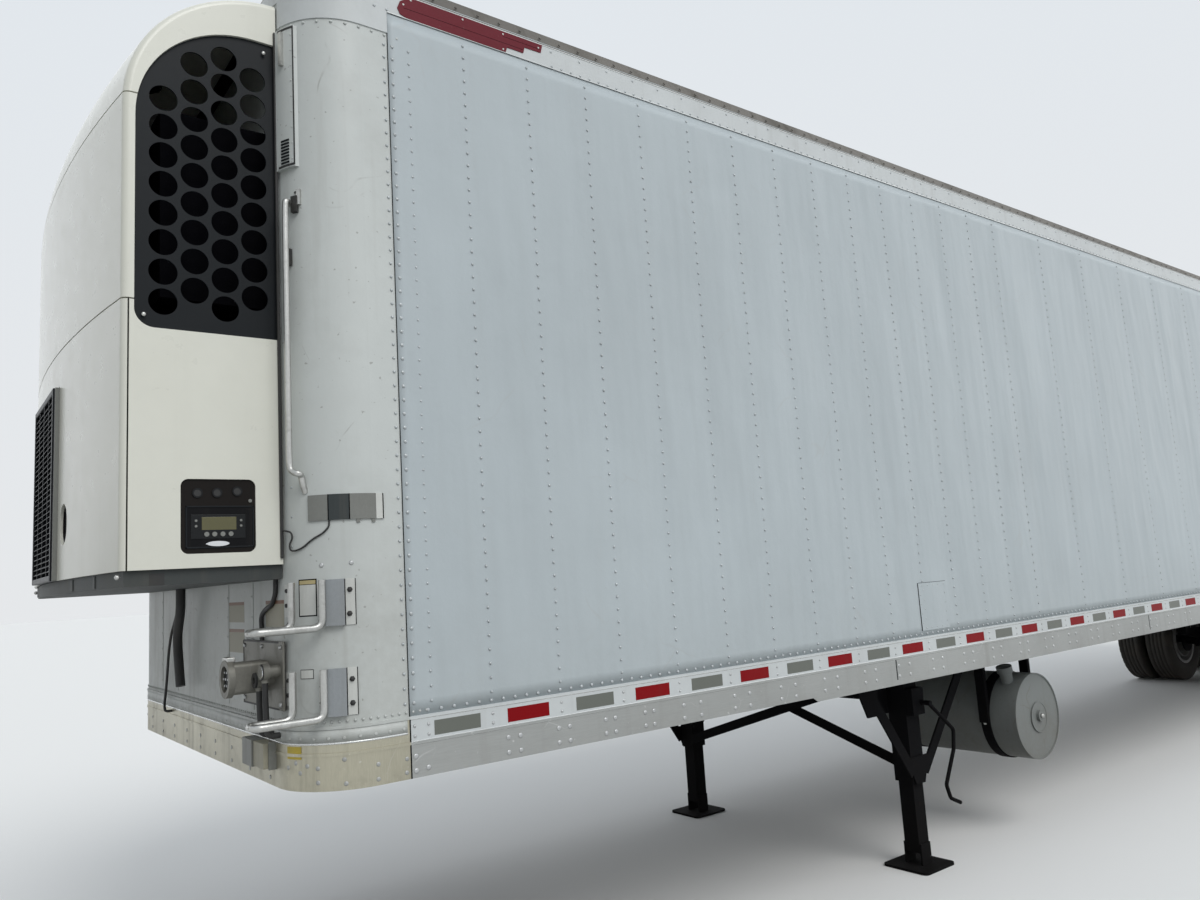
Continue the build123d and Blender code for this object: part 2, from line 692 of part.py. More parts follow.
def rear_door():
    low, high = SILL_TOP + DOOR_GAP, HEADER_BOTTOM - DOOR_GAP
    outer = HALF - POST_WIDTH - DOOR_GAP
    return block((at(REAR), at(REAR) + WALL), (DOOR_MIDDLE_GAP / 2, outer), (low, high))


def door_gear():
    face = at(REAR)
    pin_x, pin_y = face - HINGE_OFFSET, HALF - HINGE_INSET
    edge = HALF - POST_WIDTH - DOOR_GAP
    pieces = []
    for z in HINGE_ZS:
        low, high = z - HINGE_HEIGHT / 2, z + HINGE_HEIGHT / 2
        strap = across_z(
            [
                (face, edge - 190),
                (face, edge - 24),
                (pin_x + 6, pin_y - 16),
                (pin_x + 6, pin_y),
                (pin_x - 6, pin_y),
                (pin_x - 6, pin_y - 20),
                (face - 9, edge - 30),
                (face - 9, edge - 190),
            ],
            low,
            high,
        )
        knuckle = bar((pin_x, pin_y, low), (pin_x, pin_y, high), HINGE_RADIUS)
        bore = bar((pin_x, pin_y, low - 1), (pin_x, pin_y, high + 1), HINGE_PIN_RADIUS + HINGE_CLEARANCE)
        pieces.append(strap + knuckle - bore)
    rod_x = face - ROD_STANDOFF
    low, high = SILL_TOP - KEEPER_RISE, HEADER_BOTTOM + KEEPER_RISE
    for place, rise, way in RODS:
        y, grip = HALF - POST_WIDTH - place, SILL_TOP + rise
        rod = bar((rod_x, y, low), (rod_x, y, high), ROD_RADIUS)
        for z in (low, high):
            rod = rod + block((rod_x - 14, rod_x + 20), (y - 22, y + 22), (z - 18, z + 18))
        for share in ROD_CLAMPS:
            z = SILL_TOP + share * (HEADER_BOTTOM - SILL_TOP)
            rod = rod + block((rod_x - 17, face), (y - 30, y + 30), (z - 20, z + 20))
        handle = block((rod_x - 16, rod_x + 16), (y - 18, y + 18), (grip - 30, grip + 30))
        tip, catch = y + way * HANDLE_LENGTH, y + way * (HANDLE_LENGTH - 60)
        handle = handle + block((rod_x - 8, rod_x + 4), (min(tip, y), max(tip, y)), (grip - 13, grip + 13))
        handle = handle + block((rod_x - 14, face), (catch - 20, catch + 20), (grip - 23, grip + 23))
        pieces.append(rod + handle)
    return pieces


# Landing gear and tank
def landing_leg():
    x, y = at(-LEG_SETBACK), LEG_SPREAD
    half, tube, foot = LEG_WIDTH / 2, LEG_TUBE_WIDTH / 2, FOOT_SIZE / 2
    sleeve_bottom = FRAME_TOP - LEG_SLEEVE_LENGTH
    sleeve = block((x - half, x + half), (y - half, y + half), (sleeve_bottom, FRAME_TOP))
    leg = sleeve + block((x - tube, x + tube), (y - tube, y + tube), (80, sleeve_bottom + 40))
    corners = [(x + i * foot, y + j * foot, 30) for i, j in ((-1, -1), (1, -1), (1, 1), (-1, 1))]
    shoe = across_z(corners, 0, FOOT_THICKNESS)
    for ear in (-1, 1):
        near, far = y + ear * tube, y + ear * (tube + 10)
        low = FOOT_THICKNESS / 2
        leg = leg + across_x([(near, low), (far, low), (far, 130), (near, 130)], x - 45, x + 45)
    wing = block((x - 190, x + 190), (y - half - WING_THICKNESS, y - half), (FRAME_TOP - 266, FRAME_TOP))
    return leg + shoe + wing


def leg_braces():
    """A V of two flat bars on each leg, its foot plate and top bar, and two crossed bars between."""
    x, y = at(-LEG_SETBACK), LEG_SPREAD
    half = LEG_WIDTH / 2
    foot_z = RAIL_BOTTOM - BRACE_DROP
    pieces = []
    for side in (-1, 1):
        inner, outer = side * (y + half), side * (y + half + 12)
        near, far = min(inner, outer), max(inner, outer)
        middle = (inner + outer) / 2
        plate = across_y(
            [
                (x - 100, foot_z + 90),
                (x - 42, foot_z - 60),
                (x + 42, foot_z - 60),
                (x + 100, foot_z + 90),
            ],
            near,
            far,
        )
        for reach in BRACE_REACHES:
            start = 55 if reach > 0 else -55
            plate = plate + flat_bar(
                (x + start, middle, foot_z),
                (x + reach, middle, RAIL_BOTTOM - 20),
                62,
                12,
                face=(0, 1, 0),
            )
        ahead, behind = BRACE_REACHES
        plate = plate + block((x + behind - 60, x + ahead + 60), (near, far), (RAIL_BOTTOM - 60, FRAME_TOP))
        plate = plate + across_y(
            [
                (x + ahead - 130, RAIL_BOTTOM - 55),
                (x + ahead - 100, RAIL_BOTTOM - 230),
                (x + ahead - 20, RAIL_BOTTOM - 230),
                (x + ahead + 60, RAIL_BOTTOM - 55),
            ],
            near,
            far,
        )
        pieces.append(plate)
    cross = []
    wing = y - half - WING_THICKNESS
    for way in (-1, 1):
        brace = flat_bar(
            (x + way * (half + 4), -way * (y - 30), foot_z),
            (x + way * (half + 4), way * y, RAIL_BOTTOM - 20),
            60,
            8,
        )
        end = block((x - 200, x + 200), (wing, y + 200), (foot_z + 200, RAIL_BOTTOM + 100))
        cross.append(brace - (end if way > 0 else mirrored(end)))
    return pieces + cross


def leg_drive():
    x, y = at(-LEG_SETBACK), LEG_SPREAD
    half = LEG_WIDTH / 2
    z = RAIL_BOTTOM - 190
    wing = y - half - WING_THICKNESS
    shaft = bar((x, -wing, z), (x, wing, z), 16)
    gearbox = block((x - 55, x + 55), (y + half, y + half + 48), (z - 75, z + 75))
    out = y + half + 48
    stub = bar((x - 30, out, z - 10), (x - 30, out + 60, z - 10), 14)
    crank = tube_path(
        [
            (x - 30, out + 45, z - 10),
            (x - 250, out + 45, z - 190),
            (x - 230, out + 45, z - 300),
            (x - 120, out + 45, z - 480),
            (x - 150, out + 45, z - 560),
            (x - 240, out + 45, z - 600),
        ],
        11,
        30,
    )
    return shaft, gearbox + stub + crank


def fuel_tank():
    """The tank across the frame, with a round patch and plug boss on its flat end."""
    x, z = at(-TANK_SETBACK), RAIL_BOTTOM - TANK_DROP
    start = TANK_END - TANK_LENGTH
    shell = bar((x, start, z), (x, TANK_END, z), TANK_RADIUS)
    shell = shell - bar((x, TANK_END - 3, z), (x, TANK_END + 1, z), TANK_RADIUS - 9)
    patch = bar((x - 12, TANK_END - 4, z - 8), (x - 12, TANK_END + 3, z - 8), 92)
    boss = bar((x - 12, TANK_END - 4, z), (x - 12, TANK_END + 20, z), 34)
    filler = TANK_END - 100
    neck = bar((x + 120, filler, z + 180), (x + 150, filler, z + 290), 38)
    cap = bar((x + 148, filler, z + 283), (x + 158, filler, z + 320), 48)
    return shell + patch + boss + neck + cap


def tank_straps():
    x, z = at(-TANK_SETBACK), RAIL_BOTTOM - TANK_DROP
    reach = TANK_RADIUS + 24
    pieces = []
    for y in (TANK_END - TANK_LENGTH + 130, TANK_END - 200):
        width = (y - 30, y + 30)
        hanger = bar((x, y - 30, z), (x, y + 30, z), TANK_RADIUS + 8)
        for way in (-1, 1):
            edges = sorted((x + way * reach, x + way * (TANK_RADIUS - 6)))
            hanger = hanger + block(tuple(edges), width, (z - 20, FRAME_TOP))
        hanger = hanger + block((x - reach, x + reach), width, (RAIL_BOTTOM - 60, FRAME_TOP))
        pieces.append(hanger - bar((x, y - 40, z), (x, y + 40, z), TANK_RADIUS))
    return pieces


# Running gear
def axle_xs():
    rear = at(-REAR_AXLE_SETBACK)
    return {"front": rear + AXLE_SPACING, "rear": rear}


def slider_rails():
    front, rear = at(-SLIDER_FRONT), at(WALL_END + 30)
    low = FRAME_TOP - SLIDER_DEPTH
    pieces = []
    for side in (-1, 1):
        y = FRAME_SPREAD
        corners = [
            (side * (y - 60), FRAME_TOP),
            (side * (y + 60), FRAME_TOP),
            (side * (y + 60), FRAME_TOP - 8),
            (side * (y + 4), FRAME_TOP - 8),
            (side * (y + 4), low),
            (side * (y - 40), low),
            (side * (y - 40), low + 8),
            (side * (y - 4), low + 8),
            (side * (y - 4), FRAME_TOP - 8),
            (side * (y - 60), FRAME_TOP - 8),
        ]
        pieces.append(across_x(corners, rear, front))
    return pieces


def subframe():
    """The sliding tandem's frame: two rails, cross bars, and a forked hanger ahead of each axle end."""
    axles = axle_xs()
    top = FRAME_TOP - SLIDER_DEPTH
    low = top - SUBFRAME_DEPTH
    front, rear = axles["front"] + HANGER_LEAD + 140, axles["rear"] - BAG_TRAIL - 200
    frame = block((front - 1, front), (-FRAME_SPREAD, FRAME_SPREAD), (low + 15, top - 10))
    for side in (-1, 1):
        y = side * FRAME_SPREAD
        frame = frame + block((rear, front), (y - 45, y + 45), (low, top))
        for x in axles.values():
            hanger = x + HANGER_LEAD
            fork = across_y(
                [
                    (hanger - 110, low + 1),
                    (hanger - 55, PIVOT_HEIGHT - 65),
                    (hanger + 55, PIVOT_HEIGHT - 65),
                    (hanger + 110, low + 1),
                ],
                y - 50,
                y + 50,
            )
            slot = block((hanger - 130, hanger + 130), (y - 38, y + 38), (0, PIVOT_HEIGHT + 75))
            frame = frame + (fork - slot)
    for x in axles.values():
        for place in (x + HANGER_LEAD, x - BAG_TRAIL):
            frame = frame + block(
                (place - 50, place + 50), (-FRAME_SPREAD, FRAME_SPREAD), (low + 15, top - 10)
            )
    return frame


def trailing_arms():
    axle_z = TYRE_RADIUS
    pieces = []
    for x in axle_xs().values():
        for side in (-1, 1):
            y = side * FRAME_SPREAD
            hanger = x + HANGER_LEAD
            arm = across_y(
                [
                    (hanger + 45, PIVOT_HEIGHT - 45, 20),
                    (hanger + 45, PIVOT_HEIGHT + 45, 20),
                    (x + 130, axle_z + 137),
                    (x - 130, axle_z + 137),
                    (x - BAG_TRAIL + 90, axle_z + 57),
                    (x - BAG_TRAIL - 110, axle_z + 57),
                    (x - BAG_TRAIL - 110, axle_z + 27),
                    (x + 130, axle_z + 27),
                ],
                y - 35,
                y + 35,
            )
            pivot = bar((hanger, y - 38, PIVOT_HEIGHT), (hanger, y + 38, PIVOT_HEIGHT), 24)
            seat = block((x - 90, x + 90), (y - 55, y + 55), (axle_z - 83, axle_z + 137))
            axle = bar((x, y - 200, axle_z), (x, y + 200, axle_z), AXLE_RADIUS)
            pieces.append(arm + pivot + seat - axle)
    return pieces


def air_springs():
    """Each spring is turned: its piston on the arm, and the bag up to the frame."""
    base, top = TYRE_RADIUS + 57, FRAME_TOP - SLIDER_DEPTH - SUBFRAME_DEPTH
    profile = [
        (0, base),
        (80, base),
        (80, base + 85),
        (BAG_RADIUS, base + 110),
        (BAG_RADIUS, top - 28),
        (BAG_RADIUS - 20, top),
        (0, top),
    ]
    spring = revolve(Plane.XZ * outline(profile), Axis.Z)
    pieces = []
    for x in axle_xs().values():
        for side in (-1, 1):
            pieces.append(Pos(x - BAG_TRAIL, side * FRAME_SPREAD, 0) * spring)
    return pieces


def axles():
    pieces = []
    for x in axle_xs().values():
        axle = bar((x, -AXLE_TUBE_END, TYRE_RADIUS), (x, AXLE_TUBE_END, TYRE_RADIUS), AXLE_RADIUS)
        for side in (-1, 1):
            axle = axle + bar(
                (x, side * AXLE_TUBE_END, TYRE_RADIUS), (x, side * SPINDLE_END, TYRE_RADIUS), SPINDLE_RADIUS
            )
            shield = side * (DUAL_CENTRE - 334)
            axle = axle + bar((x, shield, TYRE_RADIUS), (x, shield + side * 14, TYRE_RADIUS), 150)
            chamber_x = x - 175
            axle = axle + bar((chamber_x, side * 250, 560), (chamber_x, side * 400, 560), 80)
            axle = axle + block(
                (chamber_x - 10, x - 30),
                (min(side * 300, side * 340), max(side * 300, side * 340)),
                (TYRE_RADIUS - 10, TYRE_RADIUS + 50),
            )
            cam = bar((x - 110, side * 300, TYRE_RADIUS), (x - 110, shield + side * 5, TYRE_RADIUS), 19)
            axle = axle + cam
        pieces.append(axle)
    return pieces


def tyre(x, y):
    """A plain tyre of straight lines: bore, lower and upper side walls, and tread."""
    half = TYRE_WIDTH / 2
    profile = turned_about_y(
        [
            (-half + 30, RIM_RADIUS),
            (-half, RIM_RADIUS + 115),
            (-half + 26, TYRE_RADIUS),
            (half - 26, TYRE_RADIUS),
            (half, RIM_RADIUS + 115),
            (half - 30, RIM_RADIUS),
        ]
    )
    return Pos(x, y, TYRE_RADIUS) * profile


def rim(x, y, face):
    """One disc wheel whose rim is centred at y and whose disc bolts up at face."""
    way = 1 if y > face else -1
    half = TYRE_WIDTH / 2 - 15
    inside = RIM_RADIUS - 18
    barrel = turned_about_y(
        [
            (-half, inside),
            (-half, RIM_RADIUS + 14),
            (-half + 14, RIM_RADIUS),
            (half - 14, RIM_RADIUS),
            (half, RIM_RADIUS + 14),
            (half, inside),
        ]
    )
    mount, ring = -abs(y - face), -half + 4
    disc = turned_about_y(
        [
            (way * mount, 111),
            (way * mount, 188),
            (way * ring, HAND_HOLE_CIRCLE - 28),
            (way * ring, inside + 2),
            (way * (ring + DISC_THICKNESS), inside + 2),
            (way * (ring + DISC_THICKNESS), HAND_HOLE_CIRCLE - 34),
            (way * (mount + DISC_THICKNESS), 182),
            (way * (mount + DISC_THICKNESS), 111),
        ]
    )
    holes = []
    for number in range(HAND_HOLES):
        turn = radians(360.0 / HAND_HOLES * number)
        spot = (HAND_HOLE_CIRCLE * cos(turn), HAND_HOLE_CIRCLE * sin(turn))
        ends = sorted((way * (ring - 5), way * (ring + DISC_THICKNESS + 5)))
        holes.append(bar((spot[0], ends[0], spot[1]), (spot[0], ends[1], spot[1]), HAND_HOLE_RADIUS))
    return Pos(x, y, TYRE_RADIUS) * (barrel + (disc - holes))


def hub(x, side):
    bore = SPINDLE_RADIUS + SPINDLE_CLEARANCE
    inner = DUAL_CENTRE - 11
    profile = turned_about_y(
        [
            (inner - 273, DRUM_RADIUS - 8),
            (inner - 273, DRUM_RADIUS),
            (inner, DRUM_RADIUS - 30),
            (inner, 110),
            (inner + 147, 100),
            (inner + 177, 88, 12),
            (inner + 177, 0),
            (inner + 132, 0),
            (inner + 132, bore),
            (inner - 93, bore),
            (inner - 93, 150),
            (inner - 20, 170),
            (inner - 20, DRUM_RADIUS - 40),
        ]
    )
    turned = profile if side > 0 else mirrored(profile)
    return Pos(x, 0, TYRE_RADIUS) * turned


def mud_flaps():
    pieces = []
    x = axle_xs()["rear"] - FLAP_TRAIL
    for side in (-1, 1):
        width = (side * DUAL_CENTRE - 300, side * DUAL_CENTRE + 300)
        flap = block((x - 5, x + 5), width, (FLAP_CLEARANCE, RAIL_BOTTOM - 71))
        arm = block((x + 5, x + 45), width, (RAIL_BOTTOM - 111, RAIL_BOTTOM))
        pieces.append(flap + arm)
    return pieces


def rear_guard():
    x = at(REAR) + 60
    half = GUARD_SIZE / 2
    tube = block((x - half, x + half), (95.5 - HALF, HALF - 95.5), (GUARD_HEIGHT - half, GUARD_HEIGHT + half))
    guard = tube
    for y in (-480, 480):
        guard = guard + block((x - 40, x + 40), (y - 50, y + 50), (GUARD_HEIGHT, RAIL_BOTTOM))
    return guard


def lamps():
    pieces = []
    face = at(REAR)
    sill, header = RAIL_BOTTOM + 75, ROOF_SIDE - 70
    for y in TAIL_LAMP_YS:
        pieces.append(bar((face, y, sill), (face - LAMP_DEPTH, y, sill), TAIL_LAMP_RADIUS))
    for y in MARKER_LAMP_YS:
        pieces.append(bar((face, y, header), (face - LAMP_DEPTH, y, header), MARKER_LAMP_RADIUS))
    return pieces


# Nose fittings
def skin_cut(piece, low, high):
    """The piece without what lies inside the nose sheet."""
    return piece - across_z(box_plan(0, -CORNER_SEAM), low, high)


def nose_steps():
    """Two bent tube steps round the corner, each with its bracket and pad."""
    outer_y, inner_y = HALF - 40.5, UNIT_HALF + 77
    outer_x, inner_x = at(-75), at(0)
    reach = at(STEP_REACH)
    pieces = []
    for rise in STEP_RISES:
        z = RAIL_TOP + rise
        loop = tube_path(
            [
                (outer_x, outer_y, z + 165),
                (outer_x, outer_y, z),
                (reach, outer_y, z),
                (reach, inner_y, z),
                (inner_x, inner_y, z),
                (inner_x, inner_y, z + 160),
            ],
            STEP_TUBE_RADIUS,
            34,
        )
        bracket = across_z(
            [
                (at(-60), outer_y - 20),
                (at(-60), outer_y + 13),
                (at(-92), HALF - 2.5),
                (at(-187), HALF - 2.5),
                (at(-187), outer_y - 15),
                (at(-110), outer_y - 65),
            ],
            z + 5,
            z + 158,
        )
        pad = block((at(-60), at(0)), (inner_y - 12, inner_y + 12), (z + 60, z + 150))
        pieces.append(skin_cut(loop + bracket + pad, RAIL_TOP, UNIT_BOTTOM))
    return pieces


def grab_rail():
    """The grab rail beside the unit, its two ends let into the rounded corner."""
    y = (UNIT_HALF + HALF) / 2 - 7
    low, high = (UNIT_BOTTOM + rise for rise in GRAB_RISES)
    x = at(GRAB_STANDOFF)
    rail = tube_path(
        [
            (at(corner_x(y) - 20), y, high),
            (x, y, high),
            (x, y, low + 58),
            (x, y + 45, low),
            (at(corner_x(y + 45) - 20), y + 45, low),
        ],
        GRAB_RADIUS,
        30,
    )
    return skin_cut(rail, low - 50, high + 50)


def service_plate():
    """The plate with the trailer's electric socket and its two air couplings."""
    low, high = (RAIL_TOP + rise for rise in PLATE_RISES)
    face = at(PLATE_THICKNESS)
    plate = block((at(0), face), PLATE_YS, (low, high))
    z = RAIL_TOP + SOCKET_RISE
    collar = SOCKET_RADIUS - 12
    body = across_x(
        [
            (SOCKET_Y - collar, z - collar, 15),
            (SOCKET_Y + collar, z - collar, 15),
            (SOCKET_Y + collar, z + collar, 15),
            (SOCKET_Y - collar, z + collar, 15),
        ],
        face - 1,
        at(SOCKET_REACH),
    )
    rim = bar((at(SOCKET_REACH) - 1, SOCKET_Y, z), (at(SOCKET_REACH + 20), SOCKET_Y, z), SOCKET_RADIUS)
    mouth = bar((at(SOCKET_REACH + 5), SOCKET_Y, z), (at(SOCKET_REACH + 21), SOCKET_Y, z), SOCKET_RADIUS - 20)
    plate = plate + body + (rim - mouth)
    for number, y in enumerate(COUPLING_YS):
        height = RAIL_TOP + COUPLING_RISE + 30 * number
        stem = bar((face - 1, y, height), (at(48), y, height), COUPLING_RADIUS - 8)
        seal = bar((at(47), y, height), (at(68), y, height), COUPLING_RADIUS)
        nipple = bar((at(57), y, height), (at(57), y, height - COUPLING_RADIUS - 8), 12)
        plate = plate + stem + seal + nipple
    return plate


def sensor_strip():
    low, high = (UNIT_BOTTOM + rise for rise in STRIP_RISES)
    ring = across_z(box_plan(SHEET_INSET - 0.5, -CORNER_SEAM), low, high)
    ring = ring - across_z(box_plan(0, -CORNER_SEAM - 1), low - 1, high + 1)
    return ring & block((at(-285), at(60)), (UNIT_HALF + 42, HALF + 60), (low, high))


def vent_hatch():
    """A shallow hatch frame beside the unit, bent round the corner."""
    high = NOSE_BAND_BOTTOM - 20
    low = high - HATCH_HEIGHT
    outer = across_z(box_plan(HATCH_PROUD, -CORNER_SEAM), low, high)
    shell = outer - across_z(box_plan(0, -CORNER_SEAM - 1), low - 1, high + 1)
    side = UNIT_HALF + 1.5 * SEAM
    return shell & block((at(-CORNER_RADIUS), at(HATCH_PROUD + 1)), (side, side + HATCH_WIDTH), (low, high))


def on_skin(run, out, z):
    """A point that far off the nose sheet, at a run along it from the middle of the nose."""
    flat = SHEET - CORNER_RADIUS
    turn = max(0.0, run - flat) / CORNER_RADIUS
    radius = CORNER_RADIUS + out
    return at(radius * cos(turn) - CORNER_RADIUS), min(run, flat) + radius * sin(turn), z


def cord(node, points, radius):
    """A cord along straight runs, each corner's arc as large as its two runs allow."""
    spots = [Vector(*point) for point in points]
    bends = []
    for before, corner, after in zip(spots, spots[1:], spots[2:]):
        coming, going = corner - before, after - corner
        half_turn = radians(coming.get_angle(going)) / 2
        bends.append(0.45 * min(coming.length, going.length) / tan(half_turn))
    path = FilletPolyline(*points, radius=bends)
    print(node, "length", round(path.length), "bend radii", [round(bend) for bend in bends])
    start = Plane(origin=path @ 0, z_dir=path % 0)
    return sweep(start * Circle(radius), path=path)


def drain_hose():
    """The thick drain under the unit's tray, down the wall to just above the nose band."""
    top = UNIT_BOTTOM - TRAY_DEPTH
    low = RAIL_TOP + 68
    spots = ((52, -140, 1), (52, -140, 0.77), (50, -212, 0.52), (48, -195, 0.26), (46, -168, 0))
    return cord("drain_hose", [(at(x), y, low + share * (top - low)) for x, y, share in spots], 20)


def drain_cable():
    """The thin cable behind the drain, from the tray into the nose band."""
    top = UNIT_BOTTOM - TRAY_DEPTH
    low = RAIL_TOP - 70
    spots = (
        (15, -345, 1),
        (15, -345, 0.87),
        (15, -402, 0.76),
        (15, -490, 0.64),
        (15, -545, 0.47),
        (15, -570, 0.29),
        (20, -576, 0.152),
        (30, -560, 0.048),
        (34, -524, 0),
        (RAIL_PLATE, -524, 0),
    )
    return cord("drain_cable", [(at(x), y, low + share * (top - low)) for x, y, share in spots], 6)


def tray_hose():
    """The hose from the tray's rear corner down to the service plate."""
    top = UNIT_BOTTOM - TRAY_DEPTH
    low = RAIL_TOP + PLATE_RISES[1]
    spots = ((62, 1), (62, 0.79), (98, 0.6), (183, 0.51), (229, 0.4), (222, 0.19), (222, 0))
    path = [(at(8.4), UNIT_HALF - inset, low + share * (top - low)) for inset, share in spots]
    return cord("tray_hose", path, 8)


def strip_cable():
    """The sensor's cable, round the corner from the strip and in a loop to the unit's side."""
    low = UNIT_BOTTOM + STRIP_RISES[0]
    spots = (
        (184, 4, 0),
        (184, 4, -21),
        (164, 4.5, -43),
        (124, 4.5, -62),
        (89, 4.5, -88),
        (57, 5, -97),
        (36, 6, -94),
        (33, 7, -74),
        (47, 6, -52),
        (44, 8, -32),
    )
    path = [on_skin(UNIT_HALF + run, out, low + fall) for run, out, fall in spots]
    path += [(at(3.2), UNIT_HALF + 21, low - 24), (at(3.2), UNIT_HALF, low - 24)]
    return cord("strip_cable", path, 3)


def air_hoses():
    """The two hoses from the couplings down the wall into the nose band."""
    pieces = []
    for number, y in enumerate(COUPLING_YS):
        top = RAIL_TOP + COUPLING_RISE + 30 * number - COUPLING_RADIUS - 8
        low = RAIL_TOP - 30
        spots = ((57, 0, 0), (57, 0, 0.28), (52, -10, 0.63), (46, -16, 1), (RAIL_PLATE, -16, 1))
        path = [(at(x), y + aside, top + share * (low - top)) for x, aside, share in spots]
        pieces.append(cord("air_hoses", path, 10))
    return pieces


def build():
    save("nose_wall", nose_wall())
    wall = side_wall()
    save("side_wall_left", wall)
    save("side_wall_right", mirrored(wall))
    save("roof_panel", roof_panel())
    save("floor_deck", floor_deck())
    save("top_rails", *top_rails())
    rail = bottom_rail()
    save("bottom_rails", rail, mirrored(rail))
    save("nose_band", nose_band())
    save("crossmembers", *crossmembers())
    save("upper_coupler", upper_coupler())
    cap, middle, side_doors, front_doors, panel = unit_pieces()
    save("unit_top_cap", cap)
    save("unit_front_panel", middle)
    save("unit_side_doors", side_doors)
    save("unit_lower_front", front_doors)
    save("unit_control_panel", panel)
    grille = side_grille()
    save("unit_side_grilles", grille, mirrored(grille))
    save("unit_centre_grille", centre_grille())
    save("unit_frame", unit_frame())
    save("unit_base_tray", base_tray())
    save("unit_engine_block", engine_block())
    save("unit_coil", coil())
    save("rear_frame", *rear_frame())
    door, gear = rear_door(), door_gear()
    save("rear_door_left", door)
    save("rear_door_right", mirrored(door))
    save("door_gear_left", *gear)
    save("door_gear_right", *[mirrored(piece) for piece in gear])
    leg = landing_leg()
    save("landing_legs", leg, mirrored(leg))
    save("landing_braces", *leg_braces())
    save("landing_drive", *leg_drive())
    save("fuel_tank", fuel_tank())
    save("tank_straps", *tank_straps())
    save("slider_rails", *slider_rails())
    save("tandem_subframe", subframe())
    save("trailing_arms", *trailing_arms())
    save("air_springs", *air_springs())
    save("axles", *axles())
    for place, x in axle_xs().items():
        for name, side in (("left", 1), ("right", -1)):
            centres = [side * (DUAL_CENTRE + way * DUAL_SPACING / 2) for way in (-1, 1)]
            save(f"tyres_{place}_{name}", *[tyre(x, y) for y in centres])
            rims = [rim(x, y, side * DUAL_CENTRE) for y in centres]
            save(f"wheels_{place}_{name}", *rims, hub(x, side))
    save("mud_flaps", *mud_flaps())
    save("rear_guard", rear_guard())
    save("lamps", *lamps())
    save("nose_steps", *nose_steps())
    save("grab_rail", grab_rail())
    save("service_plate", service_plate())
    save("sensor_strip", sensor_strip())
    save("vent_hatch", vent_hatch())
    save("drain_hose", drain_hose())
    save("drain_cable", drain_cable())
    save("tray_hose", tray_hose())
    save("strip_cable", strip_cable())
    save("air_hoses", *air_hoses())


build()
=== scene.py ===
"""Finishes and small parts of a refrigerated box semi trailer, laid out as a Blender add-on."""

import math

import bmesh
import bpy
from bpy.props import FloatProperty, FloatVectorProperty, IntProperty, PointerProperty
from mathutils import Matrix, Vector, noise


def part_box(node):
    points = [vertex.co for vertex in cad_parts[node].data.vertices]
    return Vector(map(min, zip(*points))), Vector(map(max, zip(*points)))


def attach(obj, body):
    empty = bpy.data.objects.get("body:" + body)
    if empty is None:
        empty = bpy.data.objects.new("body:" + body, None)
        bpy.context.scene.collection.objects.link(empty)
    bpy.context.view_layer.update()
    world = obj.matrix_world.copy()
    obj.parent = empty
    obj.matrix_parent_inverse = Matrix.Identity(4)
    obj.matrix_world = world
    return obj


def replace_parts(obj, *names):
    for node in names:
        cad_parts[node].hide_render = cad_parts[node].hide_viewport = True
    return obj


bl_info = {
    "name": "Refrigerated trailer finishes",
    "version": (1, 0, 0),
    "blender": (4, 5, 0),
    "location": "3D View > Sidebar > Trailer",
    "description": "Finishes and small parts of a refrigerated box semi trailer",
    "category": "Object",
}

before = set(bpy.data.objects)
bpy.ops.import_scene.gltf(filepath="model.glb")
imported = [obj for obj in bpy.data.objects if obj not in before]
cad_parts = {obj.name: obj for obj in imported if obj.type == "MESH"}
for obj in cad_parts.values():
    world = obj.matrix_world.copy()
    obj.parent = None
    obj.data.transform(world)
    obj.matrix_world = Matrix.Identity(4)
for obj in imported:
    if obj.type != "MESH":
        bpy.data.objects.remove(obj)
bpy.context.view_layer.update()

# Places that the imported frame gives, in metres
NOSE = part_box("nose_wall")[1].x
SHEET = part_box("side_wall_left")[1].y
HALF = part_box("bottom_rails")[1].y
SEAM_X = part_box("side_wall_left")[1].x
WALL_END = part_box("side_wall_left")[0].x
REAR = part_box("rear_door_left")[0].x
RAIL_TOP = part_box("bottom_rails")[1].z
NOSE_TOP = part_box("top_rails")[0].z
BAND_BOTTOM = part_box("nose_band")[0].z
TYRE_NODES = [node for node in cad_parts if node.startswith("tyres_")]
UNIT_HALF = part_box("unit_front_panel")[1].y
UNIT_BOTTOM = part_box("unit_lower_front")[0].z
UNIT_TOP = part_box("unit_top_cap")[1].z

# Sizes of the solids that this script takes up
CORNER_RADIUS = 0.250
RAIL_PLATE = 0.004
FLANGE_BOTTOM = 3.934
FLANGE_TOP = 4.032
RAIL_BEAD = 1.227
STEP_HEIGHTS = (RAIL_TOP + 0.324, RAIL_TOP + 0.029)
DUAL_SPACING = 0.330
RIM_RADIUS = 0.286
DISC_THICKNESS = 0.011

# Sizes and counts of the small parts that no user would change
POST_PITCH = 0.3048
FIRST_POST = 0.687
CLOSE_POSTS = 14
RIVET_PITCH = 0.0508
SHEET_LIFT = 0.0016
SHEET_ROWS = 48
PLATE_STEP = 0.02
BAND_LINE = 1.262
TAPE_LEVEL = 1.267
STEP_RADIUS = 0.0125
WHEEL_NUTS = 10
NUT_CIRCLE = 0.1425
GROOVE_PITCH = 0.044
GROOVE_DEPTH = 0.011
TYRE_STEPS = 120
NOTCH_EVERY = 3
NOTCH_DEPTH = 0.005

# Camera, fitted to the photograph: place, then yaw, pitch and roll in degrees, and lens in mm
CAMERA_PLACE = (8.8563, 4.2840, 1.7582)
CAMERA_TURN = (-127.542, 7.757, -3.599)
CAMERA_LENS = 27.42
# Where the soft sky is brightest, its least and most light, and the light of the background
SKY_TOWARDS = (-0.72, 0.70, 0.42)
SKY_LIGHT = (0.14, 1.06)
BACKGROUND = 0.95

